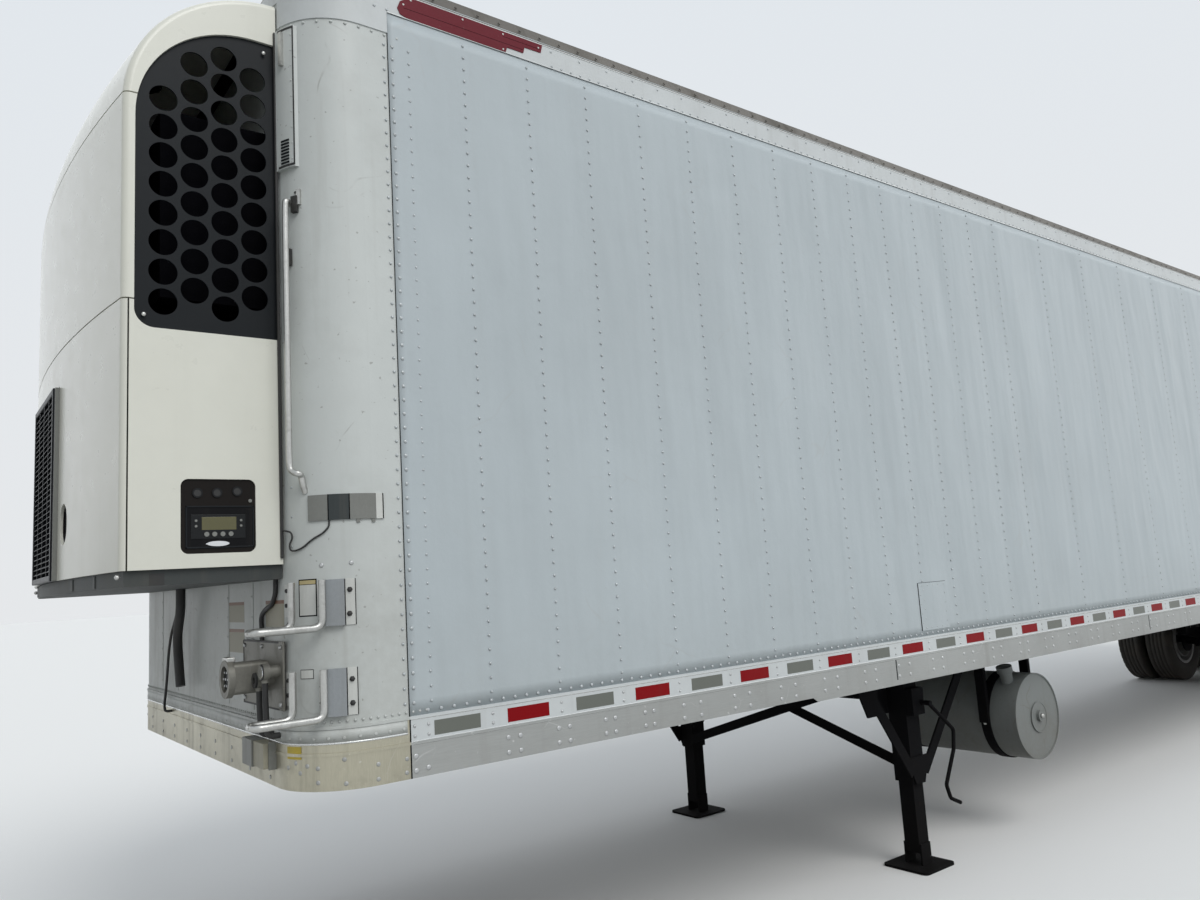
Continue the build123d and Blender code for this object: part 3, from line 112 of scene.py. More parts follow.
# The road side and the kerb side: which way each lies, and its word in the pieces' names
SIDES = ((1, "left"), (-1, "right"))

# Posts behind the side sheets, close ones first, as places behind the nose
POSTS = [FIRST_POST + POST_PITCH * k for k in range(CLOSE_POSTS)]
while NOSE - POSTS[-1] - 2 * POST_PITCH > WALL_END + 0.05:
    POSTS.append(POSTS[-1] + 2 * POST_PITCH)

# Dents of the road side, each (behind the nose, height, half width, half height, depth)
DENTS = (
    (0.555, 3.162, 0.10, 0.22, 0.0030),
    (2.030, 3.594, 0.22, 0.05, 0.0030),
    (2.672, 3.423, 0.10, 0.16, 0.0030),
    (3.670, 1.700, 0.26, 0.07, 0.0030),
    (1.160, 2.480, 0.14, 0.30, 0.0016),
    (4.420, 2.150, 0.12, 0.35, 0.0020),
)
# Bolts of the bottom rail ahead of the even ones, as the two places of each group behind the nose
RAIL_BOLTS = (
    (0.748, 0.800),
    (0.973, 1.024),
    (1.199, 1.247),
    (1.403, 1.450),
    (1.616, 1.715),
    (1.922, 2.017),
    (2.227, 2.327),
    (2.538, 2.636),
    (2.853, 2.943),
    (3.141, 3.236),
    (3.451, 3.543),
)
# Bolts of the nose band, each (run along the nose, height)
BAND_BOLTS = (
    (1.526, 1.179),
    (1.524, 1.134),
    (1.423, 1.179),
    (1.422, 1.131),
    (1.314, 1.209),
    (1.318, 1.132),
    (1.227, 1.185),
    (1.227, 1.140),
    (1.189, 1.193),
    (1.160, 1.170),
    (1.141, 1.202),
    (1.103, 1.185),
)
# Bolts of the step brackets, each (run, height, distance off the sheet)
STEP_BOLTS = (
    (1.344, 1.762, 0.0035),
    (1.342, 1.682, 0.0035),
    (1.345, 1.466, 0.0035),
    (1.345, 1.388, 0.0035),
    (1.247, 1.763, 0.0),
    (1.246, 1.711, 0.0),
    (1.107, 1.770, 0.0),
    (1.106, 1.720, 0.0),
    (1.246, 1.448, 0.0),
    (1.245, 1.395, 0.0),
    (1.109, 1.470, 0.0),
    (1.108, 1.421, 0.0),
)
# Plates of the step brackets, each (name, parts, thickness, finish), and each part (the run where it
# starts and ends, and its lowest and highest point over a step)
STEP_PLATES = (
    ("step_brackets", [((1.268, 1.327), 0.004, 0.158)], 0.020, "bracket_grey"),
    (
        "step_flanges",
        [
            ((1.329, 1.361), 0.004, 0.158),
            ((1.095, 1.120), 0.040, 0.150),
            ((1.236, 1.262), 0.040, 0.150),
        ],
        0.0035,
        "label_white",
    ),
    (
        "step_flange_edges",
        [((1.3275, 1.3300), 0.004, 0.158), ((1.361, 1.3635), 0.004, 0.158)],
        0.0042,
        "unit_metal",
    ),
)
# Screws on the side of the cooling unit, each (ahead of the nose, height)
UNIT_SCREWS = (
    (0.442, 2.696),
    (0.044, 3.740),
)
# Half profile of a round bead, each point (height from its middle, distance off the rail)
BEAD = (
    (-0.0065, 0.0),
    (-0.0048, 0.0019),
    (-0.0018, 0.0029),
    (0.0018, 0.0029),
    (0.0048, 0.0019),
    (0.0065, 0.0),
)
# Outline of the blank red plate, and its screws, each (behind the nose, height)
RED_PLATE = (
    (0.440, 3.937),
    (0.889, 3.937),
    (0.897, 3.961),
    (0.977, 3.961),
    (0.985, 3.989),
    (1.067, 3.990),
    (1.077, 4.029),
    (0.500, 4.030),
    (0.445, 4.020),
    (0.416, 3.999),
    (0.404, 3.968),
    (0.414, 3.946),
)
RED_PLATE_SCREWS = (
    (0.430, 3.990),
    (0.462, 4.018),
    (0.690, 4.016),
    (0.880, 4.015),
    (1.056, 4.010),
    (0.878, 3.947),
)

# The finish of each CAD node, or of all nodes whose names start so
CARRIED = {
    "nose_wall": "nose_paint",
    "side_wall": "side_paint",
    "roof_panel": "roof_paint",
    "floor_deck": "duct_floor",
    "top_rails": "rail_metal",
    "bottom_rails": "rail_metal",
    "nose_band": "band_metal",
    "crossmembers": "rail_metal",
    "upper_coupler": "chassis_paint",
    "unit_top_cap": "unit_shell",
    "unit_front_panel": "unit_shell",
    "unit_side_doors": "unit_shell",
    "unit_lower_front": "unit_shell",
    "unit_control_panel": "panel_dark",
    "unit_side_grilles": "unit_grille",
    "unit_centre_grille": "unit_grille",
    # The unit's frame, engine block and coil wear the near-black that paints the shade inside the unit
    "unit_frame": "unit_metal",
    "unit_base_tray": "unit_slate",
    "unit_engine_block": "unit_metal",
    "rear_frame": "stainless",
    "rear_door": "door_paint",
    "door_gear": "galvanised",
    "landing_legs": "chassis_paint",
    "landing_braces": "chassis_paint",
    "landing_drive": "chassis_paint",
    "fuel_tank": "tank_paint",
    "tank_straps": "chassis_paint",
    "slider_rails": "chassis_paint",
    "tandem_subframe": "chassis_paint",
    "trailing_arms": "chassis_paint",
    "air_springs": "black_rubber",
    "axles": "chassis_paint",
    "tyres": "tyre_rubber",
    "wheels": "wheel_paint",
    "mud_flaps": "flap_rubber",
    "rear_guard": "chassis_paint",
    "lamps": "red_lens",
    "nose_steps": "zinc_steel",
    "grab_rail": "zinc_steel",
    "service_plate": "service_metal",
    "sensor_strip": "strip_grey",
    "vent_hatch": "nose_paint",
    "drain_hose": "black_rubber",
    "unit_coil": "unit_metal",
    "drain_cable": "black_rubber",
    "tray_hose": "black_rubber",
    "strip_cable": "black_rubber",
    "air_hoses": "black_rubber",
}

# Nodes with two finishes, each (finish above a level, finish below it, the level)
PARTED = {
    "top_rails": ("cap_metal", "flange_paint", 4.036),
    "nose_band": ("nose_paint", "band_metal", RAIL_TOP - 0.020),
    "bottom_rails": ("flange_paint", "rail_metal", 1.232),
}

# The finishes that have been made, each under its name
finishes = {}


# Sizes and colours that a user would change
def length(name, description, default):
    """A size in metres."""
    return FloatProperty(
        name=name, description=description, default=default, unit="LENGTH", subtype="DISTANCE", precision=4
    )


def colour(name, description, default):
    """A colour without alpha."""
    return FloatVectorProperty(
        name=name, description=description, default=default, subtype="COLOR", size=3, min=0.0, max=1.0
    )


class TrailerColours(bpy.types.PropertyGroup):
    """Colours of the trailer's finishes."""

    side_white: colour("Side sheets", "Paint on the side sheets", (0.47, 0.525, 0.55))
    nose_white: colour("Nose sheets", "Paint on the nose and its corners", (0.585, 0.615, 0.60))
    unit_white: colour("Cooling unit", "Moulded panels of the cooling unit", (0.74, 0.74, 0.66))
    grille_dark: colour("Grille", "Dark moulded grilles of the cooling unit", (0.005, 0.007, 0.009))
    # Set darker than black paint, as painted shade under the floor
    chassis_black: colour("Chassis", "Paint under the floor", (0.006, 0.006, 0.007))
    rail_metal: colour("Rails", "Bare aluminium of the rails", (0.40, 0.41, 0.40))
    tape_red: colour("Red tape", "Red part of the reflective tape", (0.24, 0.002, 0.005))
    tape_silver: colour("Silver tape", "Silver part of the reflective tape", (0.135, 0.145, 0.125))
    plate_red: colour("Red plate", "Enamel of the blank plate on the top rail", (0.15, 0.010, 0.020))
    tyre_black: colour("Tyres", "Rubber of the tyres", (0.022, 0.022, 0.022))
    floor_pale: colour("Floor", "Floor of the stage", (0.78, 0.78, 0.77))
    floor_shade: colour("Floor bounce", "What the floor throws back at the trailer", (0.26, 0.26, 0.25))


class TrailerSizes(bpy.types.PropertyGroup):
    """Sizes of the trailer's small parts."""

    rivet_radius: length("Rivet radius", "Radius of a sheet rivet's head", 0.0069)
    rivet_height: length("Rivet height", "Height of a sheet rivet's head", 0.0040)
    bolt_radius: length("Rail bolt radius", "Radius of a rail bolt's round head", 0.0095)
    tape_height: length("Tape height", "Height of the reflective tape", 0.050)
    tape_length: length("Tape length", "Length of one piece of tape", 0.184)
    bulge: length("Sheet bulge", "How far the side sheets bulge between posts", 0.0034)
    tread_grooves: IntProperty(name="Tread grooves", description="Grooves round each tyre", default=4)


# Helpers for meshes
def ahead(distance):
    """X of a place that many metres ahead of the nose wall's flat face."""
    return NOSE + distance


def finished(name, data, material, body="trailer"):
    """Link a mesh or a curve as a piece that wears a finish and rides on a body."""
    data.materials.append(finishes[material])
    made = bpy.data.objects.new(name, data)
    bpy.context.scene.collection.objects.link(made)
    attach(made, body)
    return made


def piece(name, bm, material, body="trailer", smooth=True):
    """Turn a bmesh into a finished piece."""
    mesh = bpy.data.meshes.new(name)
    bm.to_mesh(mesh)
    bm.free()
    for face in mesh.polygons:
        face.use_smooth = smooth
    return finished(name, mesh, material, body)


def join(bm, part, places=(Matrix(),)):
    """Add copies of a small bmesh to another one, each moved to a place, and free the small one."""
    shape = bpy.data.meshes.new("part")
    part.to_mesh(shape)
    part.free()
    for place in places:
        copy = shape.copy()
        copy.transform(place)
        bm.from_mesh(copy)
        bpy.data.meshes.remove(copy)
    bpy.data.meshes.remove(shape)


def turn_out(bm, way):
    """Make the faces of an open sheet look the way given."""
    bm.normal_update()
    if sum(face.normal.dot(way) * face.calc_area() for face in bm.faces) < 0:
        bmesh.ops.reverse_faces(bm, faces=bm.faces[:])


def facing(where, normal, up=(0, 0, 1)):
    """A matrix at a place whose Z points along normal."""
    z = Vector(normal).normalized()
    x = Vector(up).cross(z)
    if x.length < 1e-6:
        x = Vector((1, 0, 0))
    x.normalize()
    turn = Matrix((x, z.cross(x), z)).transposed().to_4x4()
    return Matrix.Translation(Vector(where)) @ turn


def on_nose(run, height, out=0.0):
    """A place on the nose sheet and the way that it faces: run is metres along it from the middle,
    positive to the road side, and out is the distance off the sheet."""
    flat = SHEET - CORNER_RADIUS
    side = 1 if run >= 0 else -1
    along = abs(run)
    if along <= flat:
        return Vector((NOSE + out, run, height)), Vector((1, 0, 0))
    turn = (along - flat) / CORNER_RADIUS
    if turn <= math.pi / 2:
        normal = Vector((math.cos(turn), side * math.sin(turn), 0))
        centre = Vector((NOSE - CORNER_RADIUS, side * flat, height))
        return centre + normal * (CORNER_RADIUS + out), normal
    back = along - flat - CORNER_RADIUS * math.pi / 2
    return Vector((NOSE - CORNER_RADIUS - back, side * (SHEET + out), height)), Vector((0, side, 0))


def spread(first, last, pitch):
    """Values from first to last, a pitch apart."""
    count = int(abs(last - first) / pitch + 1e-6)
    way = 1 if last > first else -1
    return [first + way * pitch * k for k in range(count + 1)]


def turned(profile, steps):
    """A closed profile of (radius, height) turned about Z, as a small bmesh."""
    bm = bmesh.new()
    verts = [bm.verts.new((radius, 0, rise)) for radius, rise in profile]
    edges = [bm.edges.new((verts[k - 1], verts[k])) for k in range(len(verts))]
    bmesh.ops.spin(
        bm, geom=verts + edges, axis=(0, 0, 1), steps=steps, angle=2 * math.pi, use_merge=True
    )
    bmesh.ops.recalc_face_normals(bm, faces=bm.faces[:])
    return bm


def add_box(bm, low, high, bevel=0.0, turn=None):
    """A block between two corners, with bevelled edges, turned about its middle."""
    low, high = Vector(low), Vector(high)
    place = Matrix.Translation((low + high) / 2)
    if turn is not None:
        place = place @ turn
    made = bmesh.ops.create_cube(bm, size=1, matrix=place @ Matrix.Diagonal((*(high - low), 1)))
    if bevel:
        edges = list({edge for vert in made["verts"] for edge in vert.link_edges})
        bmesh.ops.bevel(
            bm, geom=edges, offset=bevel, segments=2, affect="EDGES", profile=0.5, material=-1
        )


def boxes(name, spots, material, bevel=0.0, body="trailer"):
    """Blocks, each (low corner, high corner), in one piece."""
    bm = bmesh.new()
    for low, high in spots:
        add_box(bm, low, high, bevel)
    return piece(name, bm, material, body, smooth=False)


def mirrored(spots):
    """Blocks of the road side, with their mirror images on the kerb side."""
    return spots + [((low[0], -high[1], low[2]), (high[0], -low[1], high[2])) for low, high in spots]


def heads(name, places, radius, height, material, body="trailer", sides=6, domed=False):
    """Round heads on places, each a point and the way that it faces, all in one piece."""
    sunk = 0.2 * height
    rise, share = (0.5 * height, 0.94) if domed else (height, 0.62)
    middle = Matrix.Translation((0, 0, (rise - sunk) / 2)) @ Matrix.Rotation(math.pi / 2, 4, "Z")
    head = bmesh.new()
    bmesh.ops.create_cone(
        head,
        cap_ends=True,
        segments=sides,
        radius1=radius,
        radius2=share * radius,
        depth=rise + sunk,
        matrix=middle,
    )
    if domed:
        crown = max(head.faces, key=lambda face: face.calc_center_median().z)
        grown = bmesh.ops.extrude_discrete_faces(head, faces=[crown])["faces"][0]
        bmesh.ops.scale(head, vec=(0.5 / share, 0.5 / share, 1), verts=grown.verts[:])
        bmesh.ops.translate(head, vec=(0, 0, height - rise), verts=grown.verts[:])
    bm = bmesh.new()
    join(bm, head, [facing(where, normal) for where, normal in places])
    return piece(name, bm, material, body)


def side_heads(name, spots, radius, height, material, normal=(0, 1, 0), **more):
    """Heads at points of the road side, with their mirror images on the kerb side."""
    flip = Vector((1, -1, 1))
    places = [(Vector(spot), Vector(normal)) for spot in spots]
    places += [(where * flip, way * flip) for where, way in places]
    return heads(name, places, radius, height, material, **more)


def plates(name, spots, material, smooth=False):
    """Plates that follow the nose sheet round its corner, each (runs, heights, distances off it).

    Run, height and distance make a right-handed frame, so the block's faces stay turned outwards.
    """
    bm = bmesh.new()
    for runs, heights, outs in spots:
        plate = bmesh.new()
        bmesh.ops.create_cube(plate, size=1, matrix=Matrix.Translation((0.5, 0.5, 0.5)))
        along = [edge for edge in plate.edges if edge.verts[0].co.x != edge.verts[1].co.x]
        steps = max(2, math.ceil(abs(runs[1] - runs[0]) / PLATE_STEP))
        bmesh.ops.subdivide_edges(plate, edges=along, cuts=steps - 1)
        for vert in plate.verts:
            run, height, out = (
                ends[0] + (ends[1] - ends[0]) * share for ends, share in zip((runs, heights, outs), vert.co)
            )
            vert.co = on_nose(run, height, out)[0]
        join(bm, plate)
    return piece(name, bm, material, smooth=smooth)


def discs(name, spots, material, segments=24):
    """Round bosses, each (point, way that it faces, radius, height), in one piece."""
    bm = bmesh.new()
    for where, normal, radius, height in spots:
        place = facing(where, normal) @ Matrix.Translation((0, 0, height / 2))
        bmesh.ops.create_cone(
            bm,
            cap_ends=True,
            segments=segments,
            radius1=radius,
            radius2=radius,
            depth=height,
            matrix=place,
        )
    return piece(name, bm, material, smooth=False)


def rings(name, spots, material, segments=24):
    """Flat rings, each (point, way that it faces, outer radius, inner radius, height), in one piece."""
    bm = bmesh.new()
    for where, normal, outer, inner, height in spots:
        ring = turned([(outer, 0), (outer, height), (inner, height), (inner, 0)], segments)
        join(bm, ring, [facing(where, normal)])
    return piece(name, bm, material, smooth=False)


def tube(name, points, radius, material, rounding=0.0):
    """A tube along straight runs, its corners rounded by about the given distance."""
    points = [Vector(point) for point in points]
    route = [points[0]]
    for before, corner, after in zip(points, points[1:], points[2:]):
        if rounding:
            ends = [corner + (end - corner).normalized() * rounding for end in (before, after)]
            route += [ends[0], corner, ends[1]]
        else:
            route.append(corner)
    route.append(points[-1])
    curve = bpy.data.curves.new(name, "CURVE")
    curve.dimensions = "3D"
    curve.bevel_depth = radius
    curve.bevel_resolution = 4
    curve.resolution_u = 6
    curve.use_fill_caps = True
    spline = curve.splines.new("NURBS")
    spline.points.add(len(route) - 1)
    for point, where in zip(spline.points, route):
        point.co = (*where, 1.0)
    spline.order_u = 3
    spline.use_endpoint_u = True
    return finished(name, curve, material)


# Helpers for materials
class Tree:
    """Adds nodes to one node tree and links them."""

    def __init__(self, tree):
        self.tree = tree

    def add(self, kind, inputs=None, **attributes):
        """A new node with its attributes set, and its inputs set or linked."""
        node = self.tree.nodes.new("ShaderNode" + kind)
        for name, value in attributes.items():
            setattr(node, name, value)
        for socket, value in (inputs or {}).items():
            if isinstance(value, bpy.types.NodeSocket):
                self.tree.links.new(value, node.inputs[socket])
            else:
                node.inputs[socket].default_value = value
        return node

    def noise(self, vector, scale, detail=4.0, roughness=0.55):
        """Noise at a place."""
        inputs = {"Vector": vector, "Scale": scale, "Detail": detail, "Roughness": roughness}
        return self.add("TexNoise", inputs).outputs["Fac"]

    def stretch(self, vector, scale):
        """A place with each of its axes scaled."""
        return self.add("Mapping", {"Vector": vector, "Scale": scale}).outputs["Vector"]

    def range(self, value, low, high, to_low=0.0, to_high=1.0):
        """A value between two levels, mapped between two others and clamped there."""
        inputs = {"Value": value, "From Min": low, "From Max": high, "To Min": to_low, "To Max": to_high}
        return self.add("MapRange", inputs).outputs["Result"]

    def math(self, operation, first, second=0.0, clamp=False):
        """The outcome of a sum on one or two values."""
        node = self.add("Math", {0: first, 1: second}, operation=operation, use_clamp=clamp)
        return node.outputs["Value"]

    def mix(self, factor, first, second):
        """Between two colours, whose sockets are 6 and 7 on a mix node and 2 at its end."""
        return self.add("Mix", {0: factor, 6: first, 7: second}, data_type="RGBA").outputs[2]

    def background_rays(self):
        """1 where a ray is seen straight on, in a reflection or through glass, else 0."""
        rays = self.add("LightPath").outputs
        seen = self.math("MAXIMUM", rays["Is Camera Ray"], rays["Is Glossy Ray"])
        return self.math("MAXIMUM", seen, rays["Is Transmission Ray"])


def new_group(name, inputs, outputs):
    """A shader node group with named sockets; gives its tree, input node and output node."""
    group = bpy.data.node_groups.new(name, "ShaderNodeTree")
    for label, kind, default in inputs:
        socket = group.interface.new_socket(name=label, in_out="INPUT", socket_type="NodeSocket" + kind)
        if default is not None:
            socket.default_value = default
    for label, kind in outputs:
        group.interface.new_socket(name=label, in_out="OUTPUT", socket_type="NodeSocket" + kind)
    return Tree(group), group.nodes.new("NodeGroupInput"), group.nodes.new("NodeGroupOutput")


def weather_group():
    """Dirt that gathers in blotches and runs, and more of it low down."""
    tree, start, end = new_group(
        "weather",
        [
            ("Vector", "Vector", None),
            ("Blotch Scale", "Float", 3.0),
            ("Blotches", "Float", 0.3),
            ("Runs", "Float", 0.3),
            ("Road Low", "Float", 0.0),
            ("Road High", "Float", 1.0),
            ("Road", "Float", 0.3),
        ],
        [("Dirt", "Float"), ("Tone", "Float")],
    )
    place = start.outputs["Vector"]
    blotch = tree.noise(place, start.outputs["Blotch Scale"], 7.0, 0.62)
    blotches = tree.math("MULTIPLY", tree.range(blotch, 0.52, 0.78), start.outputs["Blotches"])
    run = tree.noise(tree.stretch(place, (14.0, 14.0, 0.7)), 1.0, 6.0, 0.6)
    runs = tree.math("MULTIPLY", tree.range(run, 0.54, 0.75), start.outputs["Runs"])
    height = tree.add("SeparateXYZ", {"Vector": place}).outputs["Z"]
    rough = tree.math("ADD", height, tree.range(tree.noise(place, 5.0, 5.0), 0.0, 1.0, -0.12, 0.12))
    low = tree.range(rough, start.outputs["Road Low"], start.outputs["Road High"], 1.0, 0.0)
    splash = tree.math("MULTIPLY", low, tree.range(tree.noise(place, 40.0, 3.0), 0.3, 0.7, 0.55, 1.0))
    road = tree.math("MULTIPLY", splash, start.outputs["Road"])
    dirt = tree.math("ADD", tree.math("ADD", blotches, runs), road, clamp=True)
    tone = tree.range(tree.noise(place, 0.8, 3.0), 0.3, 0.7, -1.0, 1.0)
    tree.tree.links.new(dirt, end.inputs["Dirt"])
    tree.tree.links.new(tone, end.inputs["Tone"])
    return tree.tree


def grain_group():
    """Fine relief of a surface, stretched along the way that it was drawn or moulded."""
    tree, start, end = new_group(
        "grain",
        [("Vector", "Vector", None), ("Stretch", "Vector", (1.0, 1.0, 1.0)), ("Scale", "Float", 100.0)],
        [("Height", "Float"), ("Tone", "Float")],
    )
    drawn = {0: start.outputs["Vector"], 1: start.outputs["Stretch"]}
    mapping = tree.add("VectorMath", drawn, operation="MULTIPLY")
    fine = tree.noise(mapping.outputs["Vector"], start.outputs["Scale"], 5.0, 0.6)
    tree.tree.links.new(fine, end.inputs["Height"])
    tree.tree.links.new(tree.range(fine, 0.3, 0.7, -1.0, 1.0), end.inputs["Tone"])
    return tree.tree


def scratch_group():
    """Thin scratches and chips, as a mask."""
    tree, start, end = new_group(
        "scratches",
        [("Vector", "Vector", None), ("Scale", "Float", 6.0), ("Amount", "Float", 0.5)],
        [("Mask", "Float")],
    )
    place = start.outputs["Vector"]
    bent = tree.add("TexNoise", {"Vector": place, "Scale": 2.5, "Detail": 2.0}).outputs["Color"]
    mixed = tree.mix(0.25, place, bent)
    lines = tree.add(
        "TexVoronoi", {"Vector": mixed, "Scale": start.outputs["Scale"]}, feature="DISTANCE_TO_EDGE"
    ).outputs["Distance"]
    thin = tree.range(lines, 0.0, 0.012, 1.0, 0.0)
    broken = tree.range(tree.noise(place, 4.0, 4.0), 0.56, 0.66)
    chips = tree.range(tree.noise(place, 55.0, 2.0, 0.4), 0.72, 0.76)
    both = tree.math("MAXIMUM", tree.math("MULTIPLY", thin, broken), chips)
    mask = tree.math("MULTIPLY", both, start.outputs["Amount"], clamp=True)
    tree.tree.links.new(mask, end.inputs["Mask"])
    return tree.tree


def rgba(values):
    """An opaque colour from its red, green and blue."""
    return (*values[:3], 1.0)


def surface(
    name,
    base,
    roughness,
    metallic=0.0,
    coat=0.0,
    dirt=(0.10, 0.09, 0.075),
    blotches=0.2,
    runs=0.15,
    road=(0.2, 1.2, 0.3),
    blotch_scale=3.0,
    tone=0.06,
    stretch=(1.0, 1.0, 1.0),
    grain=90.0,
    relief=0.0006,
    scratch=(6.0, 0.0),
    scratch_colour=(0.3, 0.3, 0.29),
    specular=0.5,
    waves=None,
):
    """A finish: paint, metal or rubber with its grain, its tone, its dirt and its scratches."""
    material = bpy.data.materials.new(name)
    material.use_nodes = True
    tree = Tree(material.node_tree)
    shader = material.node_tree.nodes["Principled BSDF"]
    place = tree.add("TexCoord").outputs["Object"]
    weather = tree.add("Group", node_tree=bpy.data.node_groups["weather"])
    values = {"Blotch Scale": blotch_scale, "Blotches": blotches, "Runs": runs}
    values.update({"Road Low": road[0], "Road High": road[1], "Road": road[2]})
    for socket, value in values.items():
        weather.inputs[socket].default_value = value
    tree.tree.links.new(place, weather.inputs["Vector"])
    drawn = tree.add("Group", node_tree=bpy.data.node_groups["grain"])
    drawn.inputs["Stretch"].default_value = stretch
    drawn.inputs["Scale"].default_value = grain
    tree.tree.links.new(place, drawn.inputs["Vector"])
    shade = tree.math("MULTIPLY", weather.outputs["Tone"], tone)
    fine = tree.math("MULTIPLY", drawn.outputs["Tone"], tone * 0.5)
    bright = tree.math("ADD", tree.math("ADD", shade, fine), 1.0)
    toned = tree.add("HueSaturation", {"Color": rgba(base), "Value": bright}).outputs["Color"]
    if scratch[1] > 0:
        marks = tree.add("Group", node_tree=bpy.data.node_groups["scratches"])
        marks.inputs["Scale"].default_value = scratch[0]
        marks.inputs["Amount"].default_value = scratch[1]
        tree.tree.links.new(place, marks.inputs["Vector"])
        toned = tree.mix(marks.outputs["Mask"], toned, rgba(scratch_colour))
    coloured = tree.mix(weather.outputs["Dirt"], toned, rgba(dirt))
    tree.tree.links.new(coloured, shader.inputs["Base Color"])
    rough = tree.range(weather.outputs["Dirt"], 0.0, 1.0, roughness, min(1.0, roughness + 0.35))
    worn = tree.math("ADD", rough, tree.math("MULTIPLY", drawn.outputs["Tone"], 0.04))
    tree.tree.links.new(worn, shader.inputs["Roughness"])
    if metallic:
        metal = tree.range(weather.outputs["Dirt"], 0.0, 1.0, metallic, metallic * 0.3)
        tree.tree.links.new(metal, shader.inputs["Metallic"])
    shader.inputs["Specular IOR Level"].default_value = specular
    shader.inputs["Coat Weight"].default_value = coat
    shader.inputs["Coat Roughness"].default_value = 0.12
    bump = tree.add("Bump", {"Height": drawn.outputs["Height"], "Strength": 1.0, "Distance": relief})
    if waves:
        swell = tree.noise(tree.stretch(place, waves[0]), 1.0, 2.5, 0.45)
        broad = tree.add("Bump", {"Height": swell, "Strength": 1.0, "Distance": waves[1]})
        tree.tree.links.new(broad.outputs["Normal"], bump.inputs["Normal"])
    tree.tree.links.new(bump.outputs["Normal"], shader.inputs["Normal"])
    finishes[name] = material


class TRAILER_OT_stage(bpy.types.Operator):
    """Set up the floor, the soft lights and the camera"""

    bl_idname = "trailer.stage"
    bl_label = "Stage"

    def execute(self, context):
        self.floor(context)
        self.camera(context)
        self.lights(context)
        self.sky(context)
        context.scene.view_settings.view_transform = "Standard"
        return {"FINISHED"}

    def floor(self, context):
        """A pale floor that throws less light back at the trailer than it shows."""
        colours = context.scene.trailer_colours
        bm = bmesh.new()
        bmesh.ops.create_circle(bm, cap_ends=True, segments=96, radius=160.0)
        mesh = bpy.data.meshes.new("stage_floor")
        bm.to_mesh(mesh)
        bm.free()
        floor = bpy.data.objects.new("stage_floor", mesh)
        context.scene.collection.objects.link(floor)
        material = bpy.data.materials.new("stage_floor")
        material.use_nodes = True
        shader = material.node_tree.nodes["Principled BSDF"]
        tree = Tree(material.node_tree)
        shaded = tree.mix(tree.background_rays(), rgba(colours.floor_shade), rgba(colours.floor_pale))
        tree.tree.links.new(shaded, shader.inputs["Base Color"])
        shader.inputs["Roughness"].default_value = 0.9
        mesh.materials.append(material)

    def camera(self, context):
        """The camera at the photograph's place and turn."""
        camera = bpy.data.objects.new("camera", bpy.data.cameras.new("camera"))
        context.scene.collection.objects.link(camera)
        camera.data.sensor_width = 36.0
        camera.data.lens = CAMERA_LENS
        camera.data.clip_start = 0.05
        camera.data.clip_end = 400.0
        yaw, pitch, roll = (math.radians(angle) for angle in CAMERA_TURN)
        flat = math.cos(pitch)
        forward = Vector((flat * math.cos(yaw), flat * math.sin(yaw), math.sin(pitch)))
        level = Vector((math.sin(yaw), -math.cos(yaw), 0.0))
        above = level.cross(forward)
        right = level * math.cos(roll) + above * math.sin(roll)
        up = above * math.cos(roll) - level * math.sin(roll)
        turn = Matrix((right, up, -forward)).transposed().to_4x4()
        camera.matrix_world = Matrix.Translation(CAMERA_PLACE) @ turn
        context.scene.camera = camera

    def lights(self, context):
        """A soft sun from above the road side, and weaker ones from the kerb side and from behind."""
        self.soft_sun(context, "sun_key", (0.02, 0.80, 0.85), 1.25, 35.0, (1.0, 0.985, 0.96))
        self.soft_sun(context, "sun_fill", (0.12, -0.9, 0.5), 0.35, 60.0, (0.96, 0.98, 1.0))
        self.soft_sun(context, "sun_back", (-0.9, 0.1, 0.5), 0.5, 60.0, (1.0, 1.0, 1.0))

    def sky(self, context):
        """A soft sky that is brighter towards the road side's rear, and plain where it is seen."""
        world = bpy.data.worlds.new("soft_sky")
        context.scene.world = world
        world.use_nodes = True
        world.node_tree.nodes.clear()
        tree = Tree(world.node_tree)
        towards = tree.add("TexCoord").outputs["Generated"]
        height = tree.add("SeparateXYZ", {"Vector": towards}).outputs["Z"]
        ramp = tree.add("ValToRGB", {"Fac": tree.range(height, -0.2, 0.9)})
        ramp.color_ramp.elements[0].color = (0.84, 0.85, 0.86, 1.0)
        ramp.color_ramp.elements[1].color = (0.78, 0.84, 0.90, 1.0)
        side = tree.add("VectorMath", {0: towards, 1: SKY_TOWARDS}, operation="DOT_PRODUCT")
        lamp = tree.range(side.outputs["Value"], -1.0, 1.0, *SKY_LIGHT)
        lift = tree.math("MULTIPLY", tree.background_rays(), tree.math("SUBTRACT", BACKGROUND, lamp))
        strength = tree.math("ADD", lamp, lift)
        sky = tree.add("Background", {"Color": ramp.outputs["Color"], "Strength": strength})
        out = tree.add("OutputWorld", {"Surface": sky.outputs["Background"]})
        out.is_active_output = True

    def soft_sun(self, context, name, towards, strength, spread, tint):
        """A sun that stands where towards points, spread over some degrees of sky."""
        lamp = bpy.data.lights.new(name, "SUN")
        lamp.energy = strength
        lamp.angle = math.radians(spread)
        lamp.color = tint
        holder = bpy.data.objects.new(name, lamp)
        context.scene.collection.objects.link(holder)
        holder.rotation_mode = "QUATERNION"
        holder.rotation_quaternion = Vector(towards).to_track_quat("Z", "Y")


